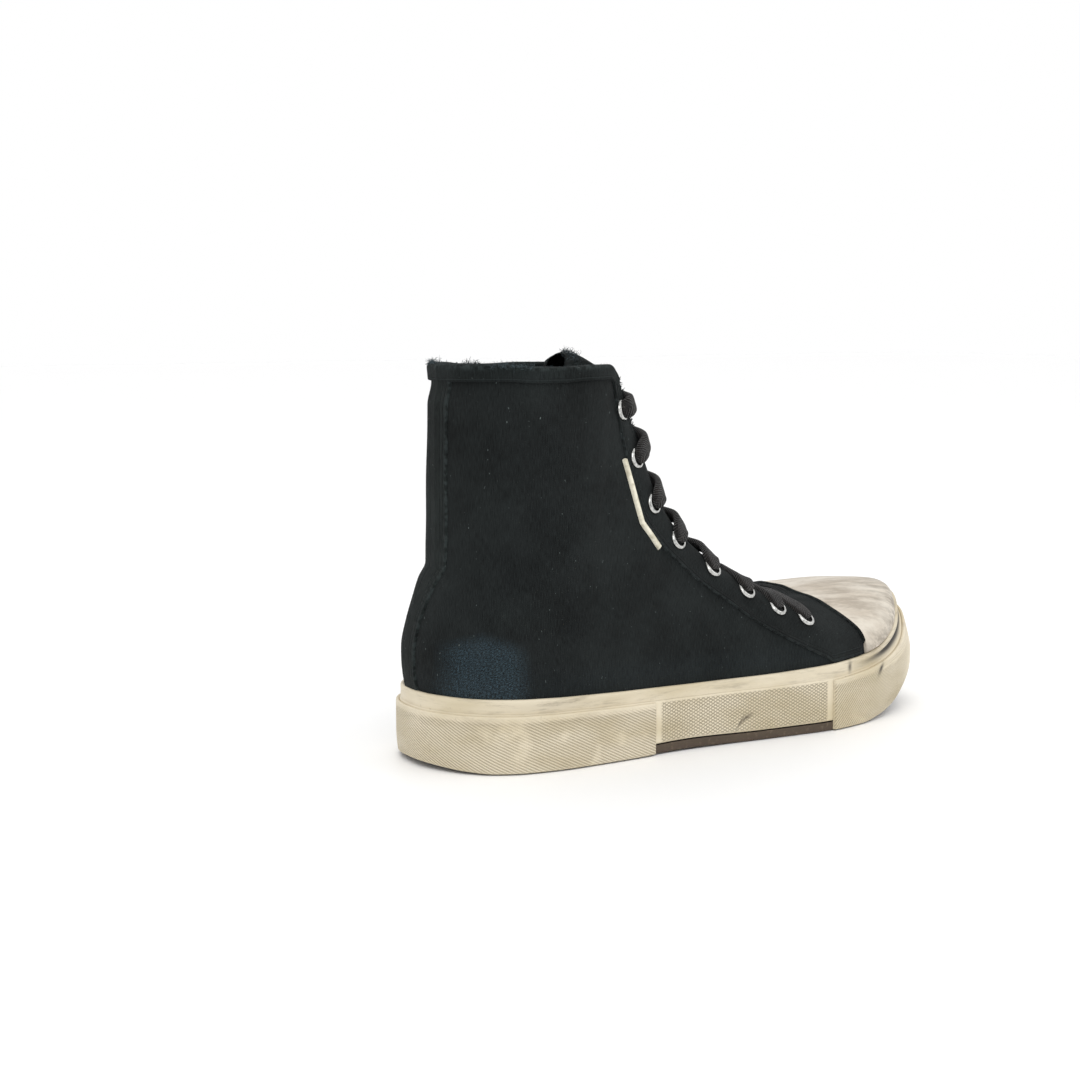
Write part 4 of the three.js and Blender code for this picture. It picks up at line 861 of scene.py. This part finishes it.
# Band: a folded strip of black cloth, sewn over the cap's rear edge so that it stands up a
# little along it.
BAND_WIDTH = 3.6
band_cloth = canvas("black binding cloth", "0b0d0d", "1c2020", 1.1, 0.7)
band_angles = cap_from + (cap_to - cap_from) * clustered(300, 0.3)
band_far = softened(cap_level(fine_angles, BAND_WIDTH), 25)
band_low = np.interp(band_angles, fine_angles, smooth_levels)
band_high = np.interp(band_angles, fine_angles, band_far)
t = clustered(14, 0.6)[None]
band = overlay(
    "cap_band",
    band_angles[:, None] + 0 * t,
    band_low[:, None] * (1 - t) + band_high[:, None] * t,
    1.9,
    band_cloth,
    1.4,
)
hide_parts("toe_cap_band")

# Eyestays: doubled canvas from the throat's edge to a seam on each side, sewn along both edges.
SEAM = np.array(
    [
        (0.307, 0.985),
        (0.325, 0.766),
        (0.352, 0.602),
        (0.387, 0.532),
        (0.477, 0.404),
        (0.592, 0.275),
        (0.714, 0.175),
    ]
) * (LENGTH, COLLAR_HEIGHT)
CORNER = math.radians(125.5)


def canvas_sewn(name, dark_code, light_code, rows, ridges=()):
    """The black canvas with rows of stitches and raised ridges at distances from its edges."""
    mat = canvas(name, dark_code, light_code)
    surface = next(n for n in mat.node_tree.nodes if n.type == "BSDF_PRINCIPLED")
    away = add(mat, "attribute", attribute_name="away")
    s = add(mat, "split", add(mat, "uv", uv_map="edge"))
    dash = add(mat, "range", waves(mat, s, 2.1), 0.2, 0.45)
    relief, thread = 0.0, 0.0
    for d in rows:
        near = add(mat, "ABSOLUTE", add(mat, "SUBTRACT", away, d))
        line = add(mat, "range", near, 0.15, 0.4, 1, 0)
        thread = add(mat, "MAXIMUM", thread, add(mat, "MULTIPLY", line, dash))
        relief = add(mat, "SUBTRACT", relief, add(mat, "range", near, 0.1, 0.8, 0.8, 0))
    for d in ridges:
        near = add(mat, "ABSOLUTE", add(mat, "SUBTRACT", away, d))
        relief = add(mat, "ADD", relief, add(mat, "range", near, 0.2, 1.0, 1, 0))
    relief = add(mat, "MULTIPLY_ADD", thread, 0.7, relief)
    cloth = surface.inputs["Base Color"].links[0].from_socket
    sewn = stained(mat, cloth, thread, 0.35, "2c3232")
    mat.node_tree.links.new(sewn, surface.inputs["Base Color"])
    weave_bump = surface.inputs["Normal"].links[0].from_socket
    bump = add(mat, "bump", relief, 0.0005, 1, weave_bump)
    mat.node_tree.links.new(bump, surface.inputs["Normal"])
    return mat


sewn_cloth = canvas_sewn("black canvas sewn along its edges", "101212", "242828", (1.7, 4.2), (3.0,))


def resampled(pairs, n, signed):
    """A line of angle and height pairs at n places an equal way apart on the face."""
    pairs = np.array(pairs)
    way = arc(sheet_point(signed * pairs[:, 0], pairs[:, 1]))
    places = np.linspace(0, way[-1], n)
    return np.stack([np.interp(places, way, pairs[:, 0]), np.interp(places, way, pairs[:, 1])], -1)


for side, signed, title in ((True, 1, "inner"), (False, -1, "outer")):
    allowed = (wide <= math.pi) if side else (wide >= math.pi)
    seam_side = arc(SEAM)
    places = np.linspace(0, seam_side[-1], 70)
    targets = np.stack([smooth(seam_side, SEAM[:, 0], places), smooth(seam_side, SEAM[:, 1], places)], -1)
    targets = targets[targets[:, 1] > feather(targets[:, 0] / LENGTH) + 1.5]
    angle, v = place_on(targets, [0, 2], allowed)
    turned = np.mod(angle, 2 * math.pi)
    seam_line = list(zip(np.minimum(turned, 2 * math.pi - turned), v))
    start = seam_line[-1][0]
    end = abs(cap_to if side else cap_from) + 0.03
    foxing_line = [(a, 0.004) for a in np.linspace(start - 0.02, end, 14)]
    band_line = [
        (a, max(0.004, np.interp(signed * a, fine_angles, band_far) - 0.01))
        for a in np.linspace(end, 0.004, 60)
    ]
    low_line = resampled(seam_line + foxing_line + band_line[1:], 300, signed)
    high_line = resampled([(a, 1) for a in np.linspace(CORNER, 0.004, 120)], 300, signed)
    t = clustered(70, 0.5)[None, :, None]
    pairs = low_line[:, None] * (1 - t) + high_line[:, None] * t
    pairs = pairs[:, ::-1] if side else pairs
    angle, v = signed * pairs[..., 0], pairs[..., 1]
    stay = overlay(f"eyestay_{title}_cloth", angle, v, 1.35, sewn_cloth, edges=(1, 1, 0, 0))
    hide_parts("eyestay_" + title)

# Trim strip: a short piece of cream piping sewn in behind the outer eyestay's seam, plain and
# bent once.
line = np.array([(0.325, 0.766), (0.352, 0.602), (0.387, 0.532)]) * (LENGTH, COLLAR_HEIGHT)
strip_way = arc(line)
places = np.linspace(0, strip_way[-1], 90)
middle = np.stack([np.interp(places, strip_way, line[:, k]) for k in (0, 1)], -1)
ahead = np.gradient(middle, axis=0)
ahead /= np.linalg.norm(ahead, axis=1, keepdims=True)
ahead = np.stack([softened(ahead[:, k], 9) for k in (0, 1)], -1)
left = np.stack([ahead[:, 1], -ahead[:, 0]], -1)
t = clustered(12, 0.6)
targets = (middle[:, None] + left[:, None] * (0.1 + 2.5 * t)[None, :, None]).reshape(-1, 2)
angle, v = place_on(targets, [0, 2], wide >= math.pi)
angle, v = angle.reshape(len(middle), -1), v.reshape(len(middle), -1)
# Coated cotton piping: smooth and pale, with faint grey wear.
mat = material("cream piping")
spot = add(mat, "place")
tone = add(mat, "noise", spot, 300, 4)
colour = tinted(mat, add(mat, "range", tone, 0.4, 0.65), "e2ddca", "c2bca6")
finish_material(mat, colour, 0.6, tone, 0.00015)
trim = overlay("trim_piping", angle, v, 1.5, mat, 0.9, 0.3)
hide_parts("trim_strip")

# Heel stay: a strip of canvas sewn over the back seam with two rows on each edge, its lower
# part leaning to the inner side.
# share of the collar's height, outer edge and inner edge as shares of half the heel's width
STAY = np.array(
    [(0.1, 0.04, 0.36), (0.19, 0.03, 0.35), (0.35, 0, 0.3), (0.55, -0.17, 0.19), (1.1, -0.18, 0.18)]
)
stay_cloth = canvas_sewn("black canvas of the heel strip", "0f1212", "232827", (1.4, 3.4))
levels = np.linspace(0.002, 0.985, 180)
around_back = np.linspace(math.pi - 0.5, math.pi + 0.5, 301)
t = clustered(40, 0.5)
angle = np.zeros((len(levels), len(t)))
for k, level in enumerate(levels):
    points = sheet_point(around_back, level + 0 * around_back)
    rise = np.interp(math.pi, around_back, points[:, 2]) / COLLAR_HEIGHT
    ends = [smooth(STAY[:, 0], STAY[:, c] * HEEL_WIDTH / 2, rise) for c in (1, 2)]
    wanted = ends[0] + (ends[1] - ends[0]) * t
    angle[k] = np.interp(wanted, points[::-1, 1], around_back[::-1])
stay = overlay(
    "heel_stay_cloth", angle, levels[:, None] + 0 * angle, 1.2, stay_cloth, 0.7, edges=(1, 1, 0, 0)
)
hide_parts("heel_stay")

# Collar binding: a canvas band folded over the rim between the two front corners and sewn
# through along its foot.
BAND_FOOT = 0.957
BAND_THICK = 1.5
bend = np.linspace(math.radians(122.5), math.radians(237.5), 420)
point, normal, up = sheet_frame(bend, np.ones_like(bend))
low_point = sheet_point(bend, BAND_FOOT)
depth = np.linalg.norm(point - low_point, axis=-1)
rows, away = [], []
for t in clustered(16, 0.4):
    thick = BAND_THICK * math.sqrt(max(0, 1 - (1 - min(1, t * 8)) ** 2)) - (0.4 if t == 0 else 0)
    here, there, _ = sheet_frame(bend, BAND_FOOT + (1 - BAND_FOOT) * t + 0 * bend)
    rows.append(creased(here, there) + there * thick)
    away.append(depth * t)
half = (WALL + BAND_THICK + 1.3) / 2
centre = creased(point, normal) + normal * (BAND_THICK - half)
for phi in np.linspace(0.2, math.pi - 0.2, 12):
    rows.append(centre + normal * half * math.cos(phi) + up * 1.7 * math.sin(phi))
    away.append(depth + 0 * bend + 2)
for t in np.linspace(1, 0, 10):
    here, there, _ = sheet_frame(bend, BAND_FOOT + (1 - BAND_FOOT) * t + 0 * bend)
    rows.append(creased(here, there) - there * (WALL + 1.3 * min(1, t * 6) - 0.1))
    away.append(depth * t)
grid = np.stack(rows, 1)
cast = np.stack(away, 1)
bind_cloth = canvas_sewn("black collar binding", "0f1212", "262b2b", (1.3,))
rim_wear = np.exp(-(((np.arange(grid.shape[1]) - 18) / 4.5) ** 2))[None]
rim_wear = rim_wear * (0.75 + 0.25 * np.sin(bend * 23)[:, None])
extra = {"away": cast, "edge": rim_wear, "worn": 0 * cast}
piece = mesh_from_grid("binding_band", grid, weave(grid), False, extra)
lay_uv(piece.data, "edge", np.stack([arc(grid[:, 8])[:, None] + 0 * cast, cast], -1))
piece.data.materials.append(bind_cloth)
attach(piece, "root")
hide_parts("collar_binding")

# Insole: a thin cloth covered footbed that lies inside the upper. Only a little of it shows
# through the collar.
bed_turn = np.linspace(0, 2 * math.pi, 241)[:-1]
bed_lift = lift(outline(bed_turn)[0] / LENGTH) + OUTSOLE + 2 * GAP + FILLING + 4
rim_line = ring(bed_turn, FOXING + WALL + 0.2, bed_lift)
spine = rim_line.copy()
spine[:, 1] = 0.5 * (rim_line[:, 1] + rim_line[::-1, 1][np.arange(-1, len(rim_line) - 1)])
rows = [rim_line * (1 - t) + spine * t for t in np.linspace(0, 1, 16)]
grid = np.stack([ring(bed_turn, FOXING + WALL + 0.2, bed_lift - 3)] + rows, 1)
bed = mesh_from_grid("footbed", grid, grid[..., :2], True)
# Plain woven cotton: dull, with its threads drawn coarse enough to show.
mat = material("grey cloth of the footbed")
spot = add(mat, "place")
u, w, _ = cloth_uv(mat)
cross = add(mat, "ADD", waves(mat, u, 1.2), waves(mat, w, 1.2))
tone = add(mat, "noise", spot, 60, 4)
finish_material(mat, tinted(mat, tone, "4c4a45", "6e6a61"), 0.9, cross, 0.0002)
bed.data.materials.append(mat)
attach(bed, "root")
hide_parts("insole")

# Tongue: a double layer of black canvas, sewn in at the front end of the throat. It passes
# under both edges of the throat with a slight crown, and its top stands a little above the collar.
TONGUE = 2.4


def throat_frame(a):
    """Both edges of the throat at an angle, and the mean outward direction between them."""
    a = np.asarray(a, float)
    left, left_normal, _ = sheet_frame(2 * math.pi - a, np.ones_like(a))
    right, right_normal, _ = sheet_frame(a, np.ones_like(a))
    out = left_normal + right_normal
    return left, left_normal, right, right_normal, out / np.linalg.norm(out, axis=-1, keepdims=True)


def throat_bed(a, drop, t):
    """Clearance under the throat's edges, the place a share t across the bed that lies that far
    and a drop under them, and the outward way there. A parabola gives the bed its crown."""
    degrees = np.degrees(a)
    clear = WALL + 0.9 + 1.2 * np.clip((degrees - 94) / 24, 0, 1)
    crown = 0.1 * np.clip((degrees - 31) / 39, 0, 1)
    left, left_normal, right, right_normal, out = throat_frame(a)
    left = left - left_normal * (clear + drop)[:, None]
    right = right - right_normal * (clear + drop)[:, None]
    size = np.linalg.norm(right - left, axis=-1)
    return clear, left + (right - left) * t + out * (4 * crown * size * t * (1 - t))[:, None], out


def tongue_rows(a, drop):
    """Cross rows of the tongue from the outer flank to the inner one, a distance under its face."""
    clear, _, _ = throat_bed(a, drop, 0)

    def flank(angle, levels):
        frames = [sheet_frame(angle, v + 0 * a) for v in levels]
        return [here - there * (clear + drop)[:, None] for here, there, _ in frames]

    rows = flank(2 * math.pi - a, (0.88, 0.92, 0.96))
    rows += [throat_bed(a, drop, t)[1] for t in np.linspace(0, 1, 31)]
    return np.stack(rows + flank(a, (0.96, 0.92, 0.88)), 1)


stations = np.radians(np.linspace(9, 124, 110))
front_face = tongue_rows(stations, 0 * stations)
back_face = tongue_rows(stations, TONGUE + 0 * stations)
tops = []
for face_rows in (front_face, back_face):
    last = face_rows[-1]
    over = []
    for t in np.linspace(0.07, 1, 16):
        back, rise = 15 * t**0.9, 9.2 * math.sin(math.pi / 2 * t**0.85)
        narrow = 0.5 + 0.5 * math.sqrt(max(0, 1 - t**3.2))
        over.append(last * (1, narrow, 1) + (-back, 0, rise))
        over[-1][:, 2] -= 0.5 * rise * t * np.abs(np.linspace(-1, 1, len(last))) ** 3
    tops.append(np.concatenate([face_rows, np.stack(over)], 0))
for side in (0, -1):
    tops[0][:, side] = tops[1][:, side] = (tops[0][:, side] + tops[1][:, side]) / 2
middle = (tops[0][-1] + tops[1][-1]) / 2 + (-0.6, 0, 0.5)
grid = np.concatenate([tops[0], tops[0][-1:] * 0.5 + middle[None] * 0.5, tops[1][::-1]], 0)
half_way = grid.shape[1] // 2
middle_way = arc(grid)[:, half_way : half_way + 1]
folds_across = 0.35 * np.sin(middle_way * 0.5) * (grid[..., 2] > 90)
grid[..., 0] += folds_across
from_top = np.arange(len(grid)) - len(tops[0])
tongue_wear = np.exp(-((from_top / 3.0) ** 2))[:, None] + 0 * grid[..., 0]
uv = np.stack([grid[..., 1], arc(grid)], -1)
extra = {"edge": tongue_wear, "worn": 0 * tongue_wear}
piece = mesh_from_grid("tongue_cloth", grid, uv, False, extra)
piece.data.materials.append(canvas("black tongue canvas", "0e1010", "1f2323"))
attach(piece, "root")
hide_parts("tongue")

# Eyelets: rolled metal rings clenched through the eyestays, eight on each side, each with a
# near black disc in its bore as painted shade.
# shares of the length and of the collar's height, from the toe upwards
EYELETS = np.array(
    [
        (0.655, 0.305), (0.603, 0.341), (0.548, 0.392), (0.488, 0.457),
        (0.424, 0.54), (0.376, 0.64), (0.347, 0.76), (0.325, 0.885),
    ]
) * (LENGTH, COLLAR_HEIGHT)
# Nickel plated brass: bright, with fine scratches.
ring_metal = material("silver metal of the eyelets")
spot = add(ring_metal, "place")
scratches = add(ring_metal, "noise", spot, 900, 3)
silver = tinted(ring_metal, add(ring_metal, "range", scratches, 0.45, 0.7), "c6c6c3", "949491")
finish_material(ring_metal, silver, 0.2, scratches, 0.00004, Metallic=1.0)
# Painted shade: a near black disc in each eyelet's bore, a little uneven.
bore_shade = material("painted shade inside the eyelets")
spot = add(bore_shade, "place")
lint = add(bore_shade, "noise", spot, 1500, 2)
finish_material(bore_shade, tinted(bore_shade, lint, "050505", "111212"), 0.95, lint, 0.0001)
# radius and height over the cloth, around the rolled metal
ring_section = [
    (2.9, 1.4), (2.95, 1.9), (3.2, 2.35), (3.65, 2.55), (4.15, 2.4), (4.55, 2.0), (4.75, 1.6), (4.7, 1.2),
]
SIDES = ((False, "outer"), (True, "inner"))
eyelet_places = {}
for side, title in SIDES:
    allowed = ((wide <= math.pi) if side else (wide >= math.pi)) & (tall > 0.5)
    angle, v = place_on(EYELETS, [0, 2], allowed)
    base, normal, up = sheet_frame(angle, v)
    base = creased(base, normal)
    eyelet_places[title] = (base, normal)
    for k in range(len(EYELETS)):
        across_way = np.cross(up[k], normal[k])
        across_way /= np.linalg.norm(across_way)
        up_way = np.cross(normal[k], across_way)
        phi = np.linspace(0, 2 * math.pi, 49)[:-1]
        spoke = across_way[None] * np.cos(phi)[:, None] + up_way[None] * np.sin(phi)[:, None]
        grid = np.stack([base[k] + spoke * r + normal[k] * h for r, h in ring_section], 1)[::-1]
        piece = mesh_from_grid(f"ring_{title}_{k + 1}", grid, None, True)
        piece.data.materials.append(ring_metal)
        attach(piece, "root")
        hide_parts(f"eyelet_{title}_{k + 1}")
        # The disc of painted shade lies just above the cloth, inside the ring.
        disc = [base[k] + spoke * r + normal[k] * 1.42 for r in (3.05, 1.5, 0.01)]
        floor_grid = np.stack(disc, 1)[::-1]
        hole = mesh_from_grid(f"bore_{title}_{k + 1}", floor_grid, None, True)
        hole.data.materials.append(bore_shade)
        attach(hole, "root")

# Laces: flat woven tapes out of each eyelet, over the throat's edge, across the tongue and in
# under the other edge.
# Woven cotton: dull, in slanting ribs with a little lint, and painted shade between the ribs.
lace_cloth = material("black brown woven lace")
spot = add(lace_cloth, "place")
s, w, uv = cloth_uv(lace_cloth)
ribs = waves(lace_cloth, add(lace_cloth, "MULTIPLY_ADD", add(lace_cloth, "ABSOLUTE", w), 0.55, s), 1.05)
threads = waves(lace_cloth, w, 0.8)
tone = add(lace_cloth, "noise", spot, 220, 4, 0.7)
black = tinted(lace_cloth, add(lace_cloth, "range", tone, 0.35, 0.68), "0e0d0c", "2a2624")
lint = add(lace_cloth, "range", add(lace_cloth, "noise", spot, 1100, 2), 0.7, 0.74)
black = stained(lace_cloth, black, lint, 0.4, "6f6d68")
height = add(lace_cloth, "MULTIPLY_ADD", ribs, 0.8, add(lace_cloth, "MULTIPLY", threads, 0.3))
# Painted shade: the low parts between the ribs are darkened towards black.
black = add(lace_cloth, "mix", add(lace_cloth, "range", ribs, 0.1, 0.5, 0.75, 0), black, linear("070606"))
finish_material(lace_cloth, black, 0.9, height, 0.0006, **{"Sheen Weight": 0.15, "Specular IOR Level": 0.2})


def spline(points, n):
    """Smooth path through points, by the cubic through four neighbours at a time."""
    points = np.asarray(points, float)
    full = np.concatenate([2 * points[:1] - points[1:2], points, 2 * points[-1:] - points[-2:-1]])
    u = np.linspace(0, len(points) - 1 - 1e-9, n)
    i, t = u.astype(int), (u % 1)[:, None]
    a, b, c, d = (full[i + k] for k in range(4))
    square, cube = 2 * a - 5 * b + 4 * c - d, 3 * b - a - 3 * c + d
    return 0.5 * (2 * b + (c - a) * t + square * t**2 + cube * t**3)


def tape(name, path, facing, widths, thick, n=110):
    """Flat tape along a path: a rounded section turned to face a given way, ends drawn in."""
    line, face_way = spline(path, n), spline(facing, n)
    along = np.gradient(line, axis=0)
    along /= np.linalg.norm(along, axis=1, keepdims=True)
    sideways = np.cross(along, face_way)
    sideways /= np.linalg.norm(sideways, axis=1, keepdims=True)
    out = np.cross(sideways, along)
    width = np.interp(np.linspace(0, 1, n), np.linspace(0, 1, len(widths)), widths)
    phi = np.linspace(0, 2 * math.pi, 25)[:-1]
    across = np.sign(np.cos(phi)) * np.abs(np.cos(phi)) ** 0.55
    rise = np.sign(np.sin(phi)) * np.abs(np.sin(phi)) ** 0.8
    end = np.sqrt(np.clip(1 - (2 * np.linspace(0, 1, n) - 1) ** 30, 0.0004, 1))
    half_wide = across[None] * width[:, None] / 2 * end[:, None]
    half_thick = rise[None] * thick / 2 * end[:, None] * (1 + 0.15 * across[None] ** 2)
    grid = line[:, None] + sideways[:, None] * half_wide[..., None] + out[:, None] * half_thick[..., None]
    s_way = arc(line)[:, None] + 0 * across[None]
    uv = np.stack([s_way, across[None] * width[:, None] / 2], -1)
    return mesh_from_grid(name, grid.swapaxes(0, 1), uv.swapaxes(0, 1), True)


def over_tongue(a, t, height):
    """A place over the tongue: a share t of the way from the outer edge, at a height above it."""
    _, bed_point, out = throat_bed(np.atleast_1d(a), np.zeros(1), t)
    return (bed_point + out * height)[0]


def edge_of_throat(a, side):
    """Throat's edge and its normal on one side at an angle, and the outward way."""
    left, left_normal, right, right_normal, out = (value[0] for value in throat_frame(np.array([a])))
    return (right, right_normal, out) if side else (left, left_normal, out)


rim_angles = np.radians(np.linspace(5, 124, 240))
rim_side = throat_frame(rim_angles)
station_of = {}
for title, edge in (("outer", rim_side[0]), ("inner", rim_side[2])):
    base = eyelet_places[title][0]
    miss = np.linalg.norm(edge[None] - base[:, None], axis=-1)
    station_of[title] = rim_angles[np.argmin(miss, axis=1)]
rng = np.random.default_rng(5)
for k in range(len(EYELETS) - 1):
    for side, title in SIDES:
        base, normal = (values[k] for values in eyelet_places[title])
        here, there = station_of["outer"][k], station_of["outer"][k + 1]
        at = lambda share: here + (there - here) * share
        out = edge_of_throat(at(0.4), side)[2]
        edge, edge_normal, _ = edge_of_throat(at(0.2), side)
        from_outer = lambda t: 1 - t if side else t
        jitter = rng.normal(0, 0.35, 6)
        above = 0.4 if side else 2.4
        way = edge - base
        path = [
            base + normal * 1.2 - way * 0.05,
            base + normal * (3.4 + jitter[0]) + way * 0.1,
            base + normal * (4.9 + jitter[1]) + way * 0.5,
            edge + edge_normal * (3.3 + jitter[2]) + out * 1.2,
            over_tongue(at(0.34), from_outer(0.22), 3.4 + above / 2),
            over_tongue(at(0.55), from_outer(0.5), 2.0 + above),
            over_tongue(at(0.75), from_outer(0.78), 2.2),
            over_tongue(at(0.88), from_outer(0.96), 0.9),
        ]
        facing = [normal, normal, normal, edge_normal + out, out, out, out, out]
        widths = [5.2, 7.6, 8.6, 8.6, 8.4, 8.4, 8, 7]
        lace = tape(f"lace_{title}_{k + 1}", path, facing, widths, 3.0)
        lace.data.materials.append(lace_cloth)
        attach(lace, "root")
        if not side:
            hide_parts(f"lace_crossing_{k + 1}")

# Lace ends: the same cotton tape. The last ends come out of the top eyelets and go straight in
# over the throat's edge.
for side, title in SIDES:
    base, normal = (values[-1] for values in eyelet_places[title])
    last = station_of["outer"][-1]
    edge, edge_normal, out = edge_of_throat(last, side)
    from_outer = lambda t: 1 - t if side else t
    path = [
        base + normal * 1.2,
        base + normal * 3.6 + (edge - base) * 0.2,
        (base + edge) / 2 + normal * 4.4,
        edge + edge_normal * 2.8 + out * 1.4,
        over_tongue(last + 0.02, from_outer(0.12), 2.6),
        over_tongue(last + 0.03, from_outer(0.1), 0.4),
    ]
    facing = [normal, normal, normal, edge_normal + out, out, edge_normal - out]
    lace = tape(f"lace_end_{title}", path, facing, [8.4, 9.2, 9.2, 8.4, 7.6, 6.4], 2.8, 70)
    lace.data.materials.append(lace_cloth)
    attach(lace, "root")

# Frayed threads: cotton worn loose in tufts on the rim and the tongue's top, and finely along
# the throat's top and the cap's band.
# Loose cotton ends: dull and soft, darker where they are still black.
def fray_material(name, dark_code, light_code):
    mat = material(name)
    tone = add(mat, "noise", add(mat, "place"), 700, 3)
    colour = tinted(mat, add(mat, "range", tone, 0.35, 0.65), dark_code, light_code)
    return finish_material(mat, colour, 0.95, tone, 0.0001)


fray_cloth = fray_material("frayed grey threads", "1a1f20", "46545a")
black_threads = fray_material("frayed black threads", "0d0f10", "262c2e")


def fibres(name, roots, out, length, curl=0.45, thick=0.11, steps=8, cloth=fray_cloth):
    """Thin bent threads, each a four sided tube that wanders from its root."""
    n = len(roots)
    way = out + rng.normal(0, 0.55, (n, 3))
    way /= np.linalg.norm(way, axis=1, keepdims=True)
    size = length * rng.uniform(0.4, 1.2, (n, 1)) / steps
    line = [roots]
    for _ in range(steps):
        line.append(line[-1] + way * size)
        way = way + rng.normal(0, curl, (n, 3))
        way /= np.linalg.norm(way, axis=1, keepdims=True)
    line = np.stack(line, 1)
    sideways = np.cross(way, rng.normal(0, 1, (n, 3)))
    sideways /= np.linalg.norm(sideways, axis=1, keepdims=True)
    third = np.cross(way, sideways)
    taper = thick * np.linspace(1, 0.4, steps + 1)[None, :, None, None]
    corners = np.stack([sideways, third, -sideways, -third], 1)[:, None]
    points = line[:, :, None] + corners * taper
    flat = (points.reshape(-1, 3) - SHIFT) * MM
    start = np.arange(n)[:, None, None] * (steps + 1) * 4
    k, c = np.meshgrid(np.arange(steps), np.arange(4), indexing="ij")
    d = (c + 1) % 4
    quads = np.stack([k * 4 + c, k * 4 + d, (k + 1) * 4 + d, (k + 1) * 4 + c], -1)
    caps = np.array([[3, 2, 1, 0], [steps * 4 + v for v in range(4)]])
    quads = (start + np.concatenate([quads.reshape(-1, 4), caps])[None]).reshape(-1, 4)
    mesh = bpy.data.meshes.new(name)
    mesh.from_pydata(flat.tolist(), [], quads.tolist())
    mesh.materials.append(cloth)
    piece = placed(name, mesh)
    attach(piece, "root")


# angles of the rim where a tuft lies, how many threads, how long, how far outside the rim
for k, (start, end, count, long, across) in enumerate(
    ((166, 179, 160, 3.6, 0), (146, 151, 90, 3.4, 0), (197, 208, 190, 3.2, 1.6), (150, 166, 60, 1.6, 0))
):
    a = np.radians(rng.uniform(start, end, count))
    point, normal, up = sheet_frame(a, np.ones_like(a))
    outward, upward = rng.normal(across - 0.6, 0.7, (count, 1)), rng.uniform(0.4, 1.5, (count, 1))
    roots = point + normal * outward + up * upward
    fibres(f"fray_rim_{k + 1}", roots, up * 0.9 + normal * across * 0.5, long)
a = np.radians(rng.uniform(124, 236, 420))
point, normal, up = sheet_frame(a, np.ones_like(a))
roots = point + up * 1.5 + normal * rng.normal(-0.5, 0.8, (len(a), 1))
fibres("fray_rim_fuzz", roots, up, 0.9, 0.5, 0.06)
top_row = tops[0][-4:, 3:22].reshape(-1, 3)
picked = top_row[rng.integers(0, len(top_row), 200)]
roots = picked + rng.normal(0, 0.4, picked.shape)
fibres("fray_tongue", roots, np.array([(-0.4, -0.2, 0.8)]), 3.0)
a = np.radians(rng.uniform(109, 123, 620))
left, left_normal, right, right_normal, out = throat_frame(a)
roots = left + left_normal * 0.5 - out * rng.uniform(-0.4, 2.4, (len(a), 1))
fibres("fray_throat", roots, out + (0.3, -0.2, 0), 2.6, 0.6, 0.2, cloth=black_threads)
at = rng.integers(0, len(band_angles), 260)
roots = face_at(band_angles[at], band_low[at] + 0.8 * (band_high - band_low)[at], 1.5 + 0 * at)
fibres("fray_band", roots, np.array([(0.3, 0, 0.8)]), 1.1, 0.5, 0.07, cloth=black_threads)

# Floor and light: a pale studio floor under white surroundings, with two soft lamps from the
# outer side.
plane = bpy.data.meshes.new("floor")
corners = [(x, y, -0.0002) for x, y in ((-6, -6), (6, -6), (6, 6), (-6, 6))]
plane.from_pydata(corners, [], [(0, 1, 2, 3)])
ground = placed("floor", plane)
mat = material("pale studio floor")
finish_material(mat, linear("ffffff"), 0.5)
plane.materials.append(mat)
world = bpy.data.worlds.new("studio")
world.use_nodes = True
world.node_tree.nodes["Background"].inputs[0].default_value = (1, 1, 1, 1)
world.node_tree.nodes["Background"].inputs[1].default_value = 1.0
bpy.context.scene.world = world
bpy.context.scene.view_settings.view_transform = "Standard"
for title, spot, size, power in (
    ("key", (-0.9, -1.1, 1.5), 1.2, 9),
    ("fill", (1.2, -0.9, 1.1), 1.4, 4),
):
    lamp = bpy.data.lights.new(title, "AREA")
    lamp.energy, lamp.size = power, size
    holder = placed(title, lamp)
    aim = (Vector((0, 0, 0.06)) - Vector(spot)).to_track_quat("-Z", "Y")
    holder.matrix_world = Matrix.Translation(spot) @ aim.to_matrix().to_4x4()
